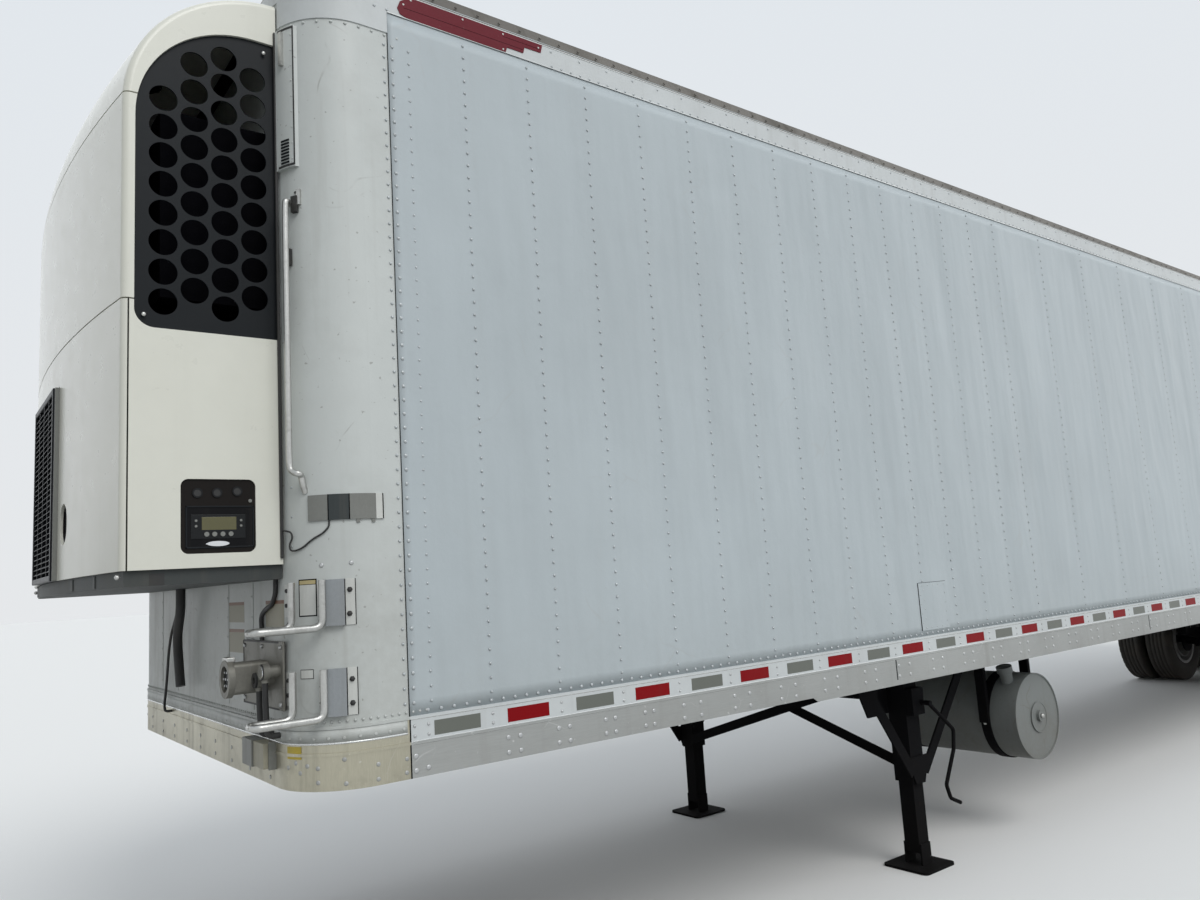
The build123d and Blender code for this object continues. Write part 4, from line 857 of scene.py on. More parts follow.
class TRAILER_OT_finishes(bpy.types.Operator):
    """Make the finishes and put them on the frame's own parts"""

    bl_idname = "trailer.finishes"
    bl_label = "Finishes"

    def execute(self, context):
        colours = context.scene.trailer_colours
        weather_group()
        grain_group()
        scratch_group()
        surface("side_paint", colours.side_white, 0.5, coat=0.03, runs=0.05, blotches=0.05,
                road=(1.25, 1.75, 0.16), tone=0.035, grain=6.0, relief=0.002, scratch=(2.5, 0.25),
                scratch_colour=(0.42, 0.43, 0.42), dirt=(0.30, 0.29, 0.26), waves=((3.6, 1.0, 0.75), 0.035))
        surface("nose_paint", colours.nose_white, 0.42, coat=0.08, runs=0.16, blotches=0.16,
                road=(1.2, 2.2, 0.3), tone=0.04, grain=8.0, relief=0.0015, scratch=(4.0, 0.5),
                scratch_colour=(0.2, 0.19, 0.17), dirt=(0.20, 0.18, 0.14))
        surface("roof_paint", (0.48, 0.48, 0.45), 0.6, runs=0.1, blotches=0.6, road=(-2, -1, 0), tone=0.1)
        surface("rail_metal", colours.rail_metal, 0.42, metallic=0.55, stretch=(0.25, 6.0, 6.0), grain=60.0,
                relief=0.0004, blotches=0.28, runs=0.25, road=(1.0, 1.3, 0.25), tone=0.12,
                scratch=(9.0, 0.5), scratch_colour=(0.75, 0.75, 0.74), dirt=(0.25, 0.24, 0.22))
        surface("cap_metal", (0.13, 0.12, 0.105), 0.6, metallic=0.35, stretch=(0.2, 5.0, 5.0), grain=50.0,
                blotches=0.7, runs=0.6, road=(-2, -1, 0), tone=0.2, dirt=(0.075, 0.068, 0.055))
        # Black paint with dirt, both set darker than real so the gear under the floor shows its shade: partly
        # painted shade
        surface("chassis_paint", colours.chassis_black, 0.7, blotches=0.35, runs=0.1,
                road=(0.1, 1.0, 0.4), tone=0.25, dirt=(0.012, 0.0105, 0.0085), scratch=(5.0, 0.3),
                scratch_colour=(0.05, 0.025, 0.016), specular=0.05)
        surface("unit_shell", colours.unit_white, 0.3, coat=0.12, blotches=0.04, runs=0.05,
                road=(1.8, 2.3, 0.1), tone=0.02, grain=14.0, relief=0.0004, dirt=(0.33, 0.31, 0.24))
        surface("unit_grille", colours.grille_dark, 0.42, blotches=0.1, runs=0.06, road=(-2, -1, 0),
                tone=0.12, grain=400.0, relief=0.0003, dirt=(0.03, 0.028, 0.024), specular=0.2)
        surface("unit_slate", (0.022, 0.029, 0.030), 0.6, blotches=0.3, runs=0.3, road=(1.7, 2.0, 0.2),
                tone=0.12, grain=260.0, relief=0.0003, dirt=(0.14, 0.13, 0.11))
        # Near-black: painted shade inside the cooling unit and behind its grille, painted shadow under the
        # flange lips and in the red plate's grooves, and the real dark seams and edges
        surface("unit_metal", (0.002, 0.002, 0.003), 0.8, blotches=0.3, tone=0.2, dirt=(0.004, 0.004, 0.004),
                specular=0.03)
        surface("stainless", (0.55, 0.55, 0.54), 0.28, metallic=0.95, stretch=(1.0, 1.0, 0.05), grain=220.0,
                relief=0.0002, blotches=0.3, runs=0.25, road=(1.0, 1.5, 0.4), tone=0.08,
                scratch=(7.0, 0.5), scratch_colour=(0.7, 0.7, 0.68), dirt=(0.22, 0.20, 0.17))
        surface("galvanised", (0.42, 0.43, 0.43), 0.42, metallic=0.8, blotches=0.5, blotch_scale=25.0,
                tone=0.2, dirt=(0.2, 0.17, 0.13))
        surface("door_paint", (0.58, 0.62, 0.63), 0.36, coat=0.2, runs=0.1, blotches=0.08,
                road=(1.2, 2.0, 0.3), tone=0.03, grain=6.0, relief=0.0015, dirt=(0.25, 0.22, 0.17))
        surface("tank_paint", (0.19, 0.205, 0.20), 0.5, blotches=0.3, runs=0.25, road=(0.3, 0.9, 0.5),
                tone=0.08, scratch=(4.0, 0.5), scratch_colour=(0.12, 0.10, 0.08), dirt=(0.13, 0.11, 0.085))
        surface("duct_floor", (0.45, 0.45, 0.44), 0.45, metallic=0.7, blotches=0.5, tone=0.15)
        surface("tyre_rubber", colours.tyre_black, 0.75, blotches=0.4, runs=0.0, road=(0.0, 1.1, 0.5),
                tone=0.2, dirt=(0.12, 0.10, 0.08), grain=120.0, relief=0.0008)
        surface("wheel_paint", (0.5, 0.51, 0.5), 0.45, blotches=0.5, runs=0.2, road=(0.0, 1.0, 0.6),
                tone=0.1, dirt=(0.13, 0.10, 0.075), scratch=(8.0, 0.6), scratch_colour=(0.14, 0.06, 0.03))
        surface("black_rubber", (0.02, 0.02, 0.02), 0.6, blotches=0.3, tone=0.2, dirt=(0.11, 0.10, 0.08))
        surface("flap_rubber", (0.025, 0.025, 0.026), 0.65, blotches=0.4, road=(0.2, 1.0, 0.7), tone=0.2)
        surface("red_lens", (0.30, 0.008, 0.008), 0.12, coat=0.6, blotches=0.1, tone=0.05, grain=140.0,
                relief=0.0012)
        surface("strip_grey", (0.20, 0.205, 0.19), 0.45, blotches=0.25, runs=0.2, tone=0.1)
        surface("zinc_steel", (0.5, 0.5, 0.48), 0.34, metallic=0.9, blotches=0.35, blotch_scale=20.0,
                tone=0.15)
        surface("band_metal", (0.47, 0.445, 0.35), 0.34, metallic=0.75, stretch=(6.0, 6.0, 0.4), grain=70.0,
                relief=0.0003, blotches=0.35, blotch_scale=9.0, runs=0.3, road=(1.0, 1.3, 0.3), tone=0.16,
                scratch=(8.0, 0.6), scratch_colour=(0.66, 0.65, 0.60), dirt=(0.15, 0.14, 0.11))
        surface("rivet_metal", (0.46, 0.49, 0.50), 0.3, metallic=0.3, blotches=0.1, tone=0.1)
        # Much brighter than the rails' own aluminium: real shine of the beads and lips plus painted highlight
        # in the colour
        surface("bead_metal", (0.72, 0.73, 0.72), 0.25, metallic=0.6, stretch=(0.2, 6.0, 6.0), blotches=0.15,
                tone=0.08, dirt=(0.3, 0.29, 0.27))
        surface("bracket_grey", (0.30, 0.32, 0.335), 0.5, metallic=0.25, blotches=0.25, runs=0.2, tone=0.08,
                dirt=(0.2, 0.19, 0.16))
        surface("service_metal", (0.21, 0.205, 0.18), 0.5, metallic=0.35, blotches=0.5, blotch_scale=12.0,
                runs=0.3, tone=0.15, scratch=(9.0, 0.5), dirt=(0.085, 0.075, 0.06))
        surface("label_sand", (0.50, 0.42, 0.22), 0.45, blotches=0.2, tone=0.05)
        surface("label_rust", (0.22, 0.12, 0.08), 0.5, blotches=0.3, tone=0.1)
        surface("flange_paint", (0.60, 0.63, 0.635), 0.5, coat=0.05, runs=0.2, blotches=0.15,
                road=(-2, -1, 0), tone=0.05, grain=9.0, relief=0.0015, dirt=(0.26, 0.25, 0.22))
        surface("bolt_metal", (0.5, 0.51, 0.51), 0.35, metallic=0.8, blotches=0.2, tone=0.1,
                dirt=(0.2, 0.19, 0.17))
        surface("chrome", (0.75, 0.76, 0.77), 0.1, metallic=1.0, blotches=0.15, tone=0.03, relief=0.0001)
        surface("label_white", (0.62, 0.63, 0.60), 0.4, blotches=0.15, runs=0.1, tone=0.04)
        surface("label_tan", (0.36, 0.34, 0.26), 0.5, blotches=0.3, runs=0.15, tone=0.08)
        surface("sticker_yellow", (0.55, 0.42, 0.05), 0.4, blotches=0.2, tone=0.05)
        surface("tape_silver", colours.tape_silver, 0.4, coat=0.05, blotches=0.15, tone=0.05, grain=300.0,
                relief=0.0004, dirt=(0.16, 0.16, 0.14))
        surface("tape_red", colours.tape_red, 0.45, specular=0.12, blotches=0.12, tone=0.06, grain=300.0,
                relief=0.0004, dirt=(0.12, 0.05, 0.045))
        surface("plate_red", colours.plate_red, 0.4, specular=0.2, blotches=0.15, tone=0.06, road=(-2, -1, 0),
                scratch=(5.0, 0.2), scratch_colour=(0.2, 0.12, 0.12), dirt=(0.08, 0.03, 0.03))
        surface("panel_dark", (0.012, 0.010, 0.009), 0.45, blotches=0.15, tone=0.15, relief=0.0002,
                dirt=(0.03, 0.026, 0.02), specular=0.1)
        surface("panel_brown", (0.006, 0.006, 0.007), 0.4, blotches=0.1, tone=0.1, relief=0.0002,
                specular=0.1)
        surface("black_gloss", (0.006, 0.007, 0.008), 0.3, coat=0.1, specular=0.2, blotches=0.08, tone=0.1,
                relief=0.0001)
        surface("screen_olive", (0.085, 0.078, 0.018), 0.15, coat=0.6, blotches=0.05, tone=0.05,
                relief=0.0001)
        for start, name in CARRIED.items():
            for node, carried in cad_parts.items():
                if node == start or node.startswith(start + "_"):
                    carried.data.materials.clear()
                    carried.data.materials.append(finishes[name])
        for node, (above, below, level) in PARTED.items():
            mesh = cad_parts[node].data
            mesh.materials.clear()
            mesh.materials.append(finishes[below])
            mesh.materials.append(finishes[above])
            for face in mesh.polygons:
                face.material_index = int(face.center.z > level)
        return {"FINISHED"}


class TRAILER_OT_sheets(bpy.types.Operator):
    """Lay the pillowed and dented side sheets on the walls"""

    bl_idname = "trailer.sheets"
    bl_label = "Side sheets"

    def execute(self, context):
        for side, word in SIDES:
            self.sheet(side, word, context.scene.trailer_sizes.bulge)
        return {"FINISHED"}

    def sheet(self, side, word, bulge):
        """A grid with its columns between the posts and a narrow return along each of its edges."""
        stops = [SEAM_X] + [ahead(-p) for p in POSTS if WALL_END + 0.05 < ahead(-p) < SEAM_X - 0.05]
        stops.append(WALL_END)
        columns = [(SEAM_X, 0.0, -1)]
        for number, (near, far) in enumerate(zip(stops, stops[1:])):
            steps = 10 if side > 0 and near > ahead(-5.0) else 6
            columns += [(near + (far - near) * k / steps, k / steps, number) for k in range(steps)]
        columns += [(WALL_END, 0.0, len(stops) - 2), (WALL_END, 0.0, -1)]
        shares = [k / SHEET_ROWS for k in range(SHEET_ROWS + 1)]
        levels = [(RAIL_TOP + (FLANGE_BOTTOM - RAIL_TOP) * share, share) for share in shares]
        levels = [(RAIL_TOP, -1.0), *levels, (FLANGE_BOTTOM, -1.0)]
        wide, tall = len(columns) - 1, len(levels) - 1
        corner = Matrix.Translation((0.5, 0.5, 0))
        bm = bmesh.new()
        bmesh.ops.create_grid(bm, x_segments=wide, y_segments=tall, size=0.5, matrix=corner)
        for vert in bm.verts:
            x, share, number = columns[round(vert.co.x * wide)]
            z, rise = levels[round(vert.co.y * tall)]
            out = -0.001
            if number >= 0 and rise >= 0:
                out = self.offset(side, x, z, share, rise, number, bulge)
            vert.co = (x, side * (SHEET + out), z)
        turn_out(bm, Vector((0, side, 0)))
        made = piece("side_sheet_" + word, bm, "side_paint")
        for face in made.data.polygons:
            face.use_smooth = abs(face.normal.y) > 0.5

    def offset(self, side, x, z, share, rise, number, bulge):
        """How far the sheet stands off the wall at a place: its pillow between two posts, less a dent."""
        wave = noise.noise(Vector((x * 1.1, side * 5.0, z * 1.6)))
        swell = math.sin(math.pi * share) ** 0.8 * min(1.0, math.sin(math.pi * rise) * 1.6)
        out = SHEET_LIFT + 0.0003 * (number % 4 == 0) + bulge * swell * (0.6 + 0.7 * wave)
        for back, height, wide, tall, depth in DENTS:
            reach = ((NOSE - x - back) / wide) ** 2 + ((z - height) / tall) ** 2
            if side > 0 and reach < 4:
                out -= depth * math.exp(-2 * reach)
        return max(0.0003, min(0.0052, out))


class TRAILER_OT_rivets(bpy.types.Operator):
    """Set the rivets of the sheets, the rails and the nose"""

    bl_idname = "trailer.rivets"
    bl_label = "Rivets"

    def execute(self, context):
        sizes = context.scene.trailer_sizes
        self.sides(sizes.rivet_radius, sizes.rivet_height)
        self.top_rails(sizes.rivet_radius)
        self.nose(sizes, sizes.rivet_radius, sizes.rivet_height)
        return {"FINISHED"}

    def sides(self, radius, height):
        """Columns of rivets at the posts and the front corners, and the row over the bottom rail."""
        face = SHEET + SHEET_LIFT
        column = spread(RAIL_TOP + 0.043, FLANGE_BOTTOM - 0.012, RIVET_PITCH)
        posts = [(ahead(-p), face, z) for p in POSTS if ahead(-p) > WALL_END + 0.02 for z in column]
        side_heads("post_rivets", posts, radius, height, "rivet_metal")
        row = [(x, face, RAIL_TOP + 0.013) for x in spread(SEAM_X - 0.07, WALL_END + 0.03, RIVET_PITCH)]
        side_heads("rail_row_rivets", row, radius * 1.2, height, "rivet_metal")
        column = spread(RAIL_TOP + 0.043, NOSE_TOP - 0.02, RIVET_PITCH)
        for name, backs, share in (("corner_rivets", (0.345, 0.445), 0.95), ("seam_rivets", (0.378,), 1.25)):
            places = [(ahead(-back), face if ahead(-back) < SEAM_X else SHEET) for back in backs]
            corner = [(*place, z) for place in places for z in column]
            side_heads(name, corner, radius * share, height, "rivet_metal")

    def top_rails(self, radius):
        """Rivets of the upright flange, bright strips on its two lips as painted highlight with near-black
        strips under them as painted shadow, and rivets of the cap over it.
        """
        flange = HALF - 0.0035
        low = [(x, flange, FLANGE_BOTTOM + 0.011) for x in spread(SEAM_X + 0.05, REAR + 0.02, RIVET_PITCH)]
        high = [(x, flange, FLANGE_TOP - 0.02) for x in spread(SEAM_X, REAR + 0.05, POST_PITCH / 2)]
        free = [spot for spot in low + high if not 0.395 < NOSE - spot[0] < 1.085]
        side_heads("flange_rivets", free, radius, 0.0034, "rivet_metal")
        # Bright strips on the flange's lips are painted highlight; the thin near-black strips just under them
        # are painted shadow lines
        lines = (
            ("flange_lips", (3.9340, 4.0290), 0.0022, 0.0035, "bead_metal"),
            ("flange_shadows", (3.9375, 4.0265), 0.0004, 0.0016, "unit_metal"),
        )
        for name, levels, proud, tall, material in lines:
            spots = [((REAR + 0.05, flange - 0.001, z), (SEAM_X, flange + proud, z + tall)) for z in levels]
            boxes(name, mirrored(spots), material)
        along = spread(SEAM_X, REAR + 0.05, POST_PITCH / 3)
        cant = [(x, HALF - 0.008, FLANGE_TOP + 0.030) for x in along]
        side_heads("cant_rivets", cant, radius, 0.003, "cap_metal", normal=(0, 0.96, 0.28))
        roof = [(x, HALF - 0.055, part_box("top_rails")[1].z - 0.012) for x in along]
        side_heads("roof_rivets", roof, radius, 0.003, "roof_paint", normal=(0, 0, 1))

    def nose(self, sizes, radius, height):
        """Bolts of the nose band, and rivets of the band, of the sheets' edges and of the ribs."""
        bolts = [on_nose(way * run, z, RAIL_PLATE - 0.0008) for way in (1, -1) for run, z in BAND_BOLTS]
        bolts += [on_nose(run, z, RAIL_PLATE) for run in spread(-0.94, 0.94, 0.235) for z in (1.185, 1.136)]
        heads("band_bolts", bolts, sizes.bolt_radius * 0.85, 0.0028, "rail_metal", sides=10, domed=True)
        upper = [on_nose(run, 1.278, RAIL_PLATE + 0.001) for run in spread(-1.53, 1.53, RIVET_PITCH)]
        heads("band_rivets", upper, radius, 0.0012, "nose_paint")
        row = [on_nose(run, RAIL_TOP + 0.014) for run in spread(-1.62, 1.62, RIVET_PITCH / 2)]
        heads("nose_row_rivets", row, radius * 0.9, height, "nose_paint")
        runs = [run for run in spread(-1.62, 1.62, RIVET_PITCH) if abs(run) > UNIT_HALF + 0.02]
        top = [on_nose(run, NOSE_TOP - 0.012) for run in runs]
        heads("nose_top_rivets", top, radius, height, "nose_paint")
        runs = [way * run for run in (0.42, 0.74) for way in (1, -1)]
        column = spread(RAIL_TOP + 0.06, UNIT_BOTTOM - 0.06, 0.0762)
        spots = [on_nose(run, z) for run in runs for z in column]
        heads("rib_rivets", spots, radius * 0.8, 0.004, "nose_paint")
        heights = (RAIL_TOP + 0.03, UNIT_BOTTOM - 0.05)
        ribs = [((run - 0.012, run + 0.012), heights, (0.0, 0.0016)) for run in runs]
        plates("nose_ribs", ribs, "nose_paint")


class TRAILER_OT_rails(bpy.types.Operator):
    """Set the bottom rail's bolts, its rivets and the reflective tape"""

    bl_idname = "trailer.rails"
    bl_label = "Bottom rails"

    def execute(self, context):
        sizes = context.scene.trailer_sizes
        face = HALF - 0.003
        pairs = list(RAIL_BOLTS)
        while NOSE - pairs[-1][1] - POST_PITCH > WALL_END + 0.05:
            pairs.append((pairs[-1][0] + POST_PITCH, pairs[-1][1] + POST_PITCH))
        bolts = [(ahead(-back), face, z) for pair in pairs for back in pair for z in (1.188, 1.135)]
        bolts += [(ahead(-back), face, z) for back, z in ((0.378, 1.182), (0.378, 1.134), (0.424, 1.138))]
        side_heads("rail_bolts", bolts, sizes.bolt_radius, 0.0029, "bolt_metal", sides=12, domed=True)
        backs = [0.377, 0.430] + spread(FIRST_POST, NOSE - WALL_END - 0.02, POST_PITCH)
        rivets = [(ahead(-back), face, z) for back in backs for z in (1.283, 1.249)]
        side_heads("rail_rivets", rivets, sizes.rivet_radius, 0.0026, "bolt_metal", sides=8)
        self.tape(sizes, face)
        self.beads(face)
        self.seams(face)
        return {"FINISHED"}

    def tape(self, sizes, face):
        """Silver and red tape in turn along both rails."""
        low, high = TAPE_LEVEL - sizes.tape_height / 2, TAPE_LEVEL + sizes.tape_height / 2
        for name, first in (("silver", 0.451), ("red", 0.749)):
            fronts = [ahead(-back) for back in spread(first, NOSE - WALL_END - 0.25, POST_PITCH * 2)]
            spots = [((x - sizes.tape_length, face, low), (x, face + 0.0005, high)) for x in fronts]
            boxes("side_tape_" + name, mirrored(spots), "tape_" + name)

    def beads(self, face):
        """Two round beads along each bottom rail, in the bright bead finish that adds painted highlight to
        their shine.
        """
        for side, word in SIDES:
            bm = bmesh.new()
            for level in (RAIL_BEAD, RAIL_TOP - 0.0068):
                spots = [(SEAM_X - 0.002, side * (face + out), level + rise) for rise, out in BEAD]
                verts = [bm.verts.new(spot) for spot in spots]
                edges = [bm.edges.new(pair) for pair in zip(verts, verts[1:])]
                drawn = bmesh.ops.extrude_edge_only(bm, edges=edges)["geom"]
                far = [item for item in drawn if isinstance(item, bmesh.types.BMVert)]
                bmesh.ops.translate(bm, vec=(WALL_END - SEAM_X + 0.004, 0, 0), verts=far)
            turn_out(bm, Vector((0, side, 0)))
            piece("rail_beads_" + word, bm, "bead_metal")

    def seams(self, face):
        """Dark seams at the front corners, the band's paint and beads, and marks at the rail's joints."""
        seams = [
            ((SEAM_X - 0.0013, SHEET - 0.002, RAIL_TOP), (SEAM_X + 0.0013, SHEET + 0.0022, FLANGE_BOTTOM)),
            ((SEAM_X - 0.0022, face - 0.002, BAND_BOTTOM), (SEAM_X + 0.0022, face + 0.0012, RAIL_TOP)),
        ]
        boxes("corner_seams", mirrored(seams), "unit_metal")
        arc = math.pi / 2 * CORNER_RADIUS + SHEET - CORNER_RADIUS + 0.1
        paint = [((-arc, arc), (BAND_LINE, RAIL_TOP - 0.008), (0.0035, 0.0050))]
        plates("band_paint", paint, "nose_paint", smooth=True)
        # The band's beads wear the bright bead finish: painted highlight on top of their shine
        levels = (BAND_LINE, RAIL_TOP - 0.005)
        beads = [((-arc, arc), (z - 0.003, z + 0.003), (0.0045, 0.0062)) for z in levels]
        plates("band_beads", beads, "bead_metal", smooth=True)
        joints = [ahead(-back) for back in spread(1.9, NOSE - WALL_END - 0.3, POST_PITCH * 2)][2::5]
        marks = [((x - 0.004, face, 1.118), (x + 0.004, face + 0.0006, 1.222)) for x in joints]
        boxes("rail_joint_marks", marks, "unit_grille")


class TRAILER_OT_nose(bpy.types.Operator):
    """Add the plates, brackets and blank labels of the nose"""

    bl_idname = "trailer.nose"
    bl_label = "Nose"

    def execute(self, context):
        self.steps(context.scene.trailer_sizes)
        self.strip()
        self.labels()
        self.bracket_box()
        self.service()
        self.hatch()
        return {"FINISHED"}

    def steps(self, sizes):
        """Tube steps with their bracket plates, flanges and black bolts."""
        back, wall, reach = NOSE - 0.075, NOSE + 0.001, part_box("nose_steps")[1].x - STEP_RADIUS
        inner, outer = UNIT_HALF + 0.077, HALF - 0.0405
        for number, z in enumerate(STEP_HEIGHTS):
            route = [
                (back, outer, z + 0.158),
                (back, outer, z),
                (reach, outer, z),
                (reach, inner, z),
                (wall, inner, z),
                (wall, inner, z + 0.155),
            ]
            made = tube(f"step_tube_{number}", route, STEP_RADIUS, "zinc_steel", rounding=0.070)
        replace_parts(made, "nose_steps")
        for name, parts, out, material in STEP_PLATES:
            spans = [(runs, (z + low, z + high)) for runs, low, high in parts for z in STEP_HEIGHTS]
            plates(name, [(*span, (0.0, out)) for span in spans], material)
        bolts = [on_nose(run, z, out) for run, z, out in STEP_BOLTS]
        heads("step_bolts", bolts, 0.0105, 0.007, "black_rubber")
        posts = [on_nose(way * 1.137, z) for way in (1, -1) for z in spread(1.92, 2.93, 0.1016)]
        heads("nose_post_rivets", posts, sizes.rivet_radius * 0.7, 0.002, "rivet_metal")
        loose = [on_nose(run, z) for run, z in ((1.252, 1.849), (1.351, 1.852))]
        heads("nose_heads", loose, 0.008, 0.004, "bolt_metal", sides=10, domed=True)

    def strip(self):
        """The sensor strip round the corner, in its grey, dark and white lengths."""
        low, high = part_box("sensor_strip")
        heights = (low.z, high.z)
        grey = [(runs, heights, (0.0, 0.0060)) for runs in ((1.210, 1.281), (1.350, 1.439))]
        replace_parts(plates("strip_body", grey, "strip_grey"), "sensor_strip")
        plates("strip_dark", [((1.282, 1.349), heights, (0.0, 0.0066))], "unit_slate")
        plates("strip_white", [((1.440, 1.464), heights, (0.0, 0.0060))], "label_white")
        edges = [((run, run + 0.0035), heights, (0.0, 0.0068)) for run in (1.2785, 1.3475, 1.464)]
        plates("strip_edges", edges, "unit_metal")
        tabs = [((run, run + 0.012), (low.z - 0.012, low.z), (0.0, 0.0045)) for run in (1.372, 1.425)]
        plates("strip_tabs", tabs, "strip_grey")

    def labels(self):
        """Blank labels and stickers, some on a dark edge or under a band."""
        under, over = (0.0, 0.0006), (0.0005, 0.0010)
        plates("label_edge", [((1.164, 1.234), (1.680, 1.805), under)], "unit_metal")
        plates("label_pale", [((1.168, 1.230), (1.684, 1.786), over)], "label_white")
        plates("label_band", [((1.168, 1.230), (1.788, 1.801), over)], "label_sand")
        tan = [
            ((0.90, 1.085), (1.648, 1.728), under),
            ((0.436, 0.636), (1.663, 1.728), under),
            ((0.436, 0.636), (1.548, 1.625), under),
        ]
        plates("label_tan", tan, "label_tan")
        bands = [(runs, (heights[1], heights[1] + 0.012), outs) for runs, heights, outs in tan]
        plates("label_heads", bands, "label_rust")
        plates("label_small_edge", [((1.166, 1.217), (1.474, 1.505), under)], "unit_metal")
        plates("label_small", [((1.168, 1.215), (1.476, 1.503), over)], "label_white")
        plates("sticker_yellow", [((1.102, 1.166), (1.214, 1.254), (0.0042, 0.0062))], "sticker_yellow")

    def bracket_box(self):
        """The box on the nose band, in three blocks side by side."""
        back = NOSE + 0.004
        blocks = (
            ("band_box", (0.775, 1.170), (NOSE + 0.052, 0.885, 1.262), "strip_grey", 0.002),
            ("band_box_side", (0.887, 1.174), (NOSE + 0.046, 1.000, 1.258), "label_tan", 0.002),
            ("band_box_edge", (1.001, 1.170), (NOSE + 0.030, 1.009, 1.262), "strip_grey", 0.0),
        )
        for name, low, high, material, bevel in blocks:
            boxes(name, [((back, *low), high)], material, bevel=bevel)

    def service(self):
        """Bolts and edge of the service plate, with its socket and air couplings."""
        low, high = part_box("service_plate")
        front = Vector((1, 0, 0))
        edges = (low.z + 0.02, high.z - 0.02)
        across = (low.y + 0.02, high.y - 0.02, (low.y + high.y) / 2)
        corners = [(Vector((NOSE + 0.010, y, z)), front) for y in across for z in edges]
        heads("service_bolts", corners, 0.010, 0.006, "galvanised")
        lip = Vector((high.x, 0.90, RAIL_TOP + 0.163))
        discs("socket_lid", [(lip - front * 0.016, front, 0.043, 0.004)], "unit_grille")
        ways = [Vector((0, math.cos(math.pi * k / 3), math.sin(math.pi * k / 3))) for k in range(6)]
        pins = [(lip - front * 0.012 + way * 0.026, front, 0.004, 0.008) for way in ways]
        pins.append((lip - front * 0.012, front, 0.005, 0.008))
        discs("socket_pins", pins, "bolt_metal", segments=10)
        hinge = (lip + Vector((-0.03, -0.03, 0.058)), lip + Vector((-0.002, 0.03, 0.074)))
        boxes("socket_hinge", [hinge], "zinc_steel", bevel=0.003)
        cap = Vector((NOSE + 0.068, 1.066, RAIL_TOP + 0.186))
        seal = Vector((NOSE + 0.068, 1.000, RAIL_TOP + 0.156))
        discs("coupling_cap", [(cap, front, 0.024, 0.006)], "chrome")
        seals = [(seal, front, 0.026, 0.012, 0.007), (cap, front, 0.027, 0.0245, 0.003)]
        rings("coupling_seals", seals, "black_rubber")
        outs = (0.010, 0.0115)
        rim = [((y, y + 0.006), (low.z, high.z), outs) for y in (low.y, high.y - 0.006)]
        rim += [((low.y, high.y), (z, z + 0.006), outs) for z in (high.z - 0.006, low.z)]
        plates("service_edge", rim, "black_rubber")

    def hatch(self):
        """Seal, bar, louvres and rivets of the vent hatch."""
        low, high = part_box("vent_hatch")
        near, far = 1.118, 1.192
        outs = (0.014, 0.0155)
        edge = [((near, far), (z, z + 0.008), outs) for z in (low.z + 0.004, high.z - 0.012)]
        edge.append(((far - 0.005, far), (low.z + 0.004, high.z - 0.004), outs))
        plates("hatch_edge", edge, "black_rubber")
        plates("hatch_bar", [((1.134, 1.148), (3.68, 3.81), (0.014, 0.026))], "zinc_steel")
        louvres = [((1.132, 1.168), (z, z + 0.006), (0.014, 0.017)) for z in spread(3.30, 3.39, 0.012)]
        plates("hatch_louvres", louvres, "unit_grille")
        spots = [on_nose(far - 0.012, z, 0.014) for z in spread(low.z + 0.03, high.z - 0.03, 0.06)]
        heads("hatch_rivets", spots, 0.004, 0.002, "nose_paint")


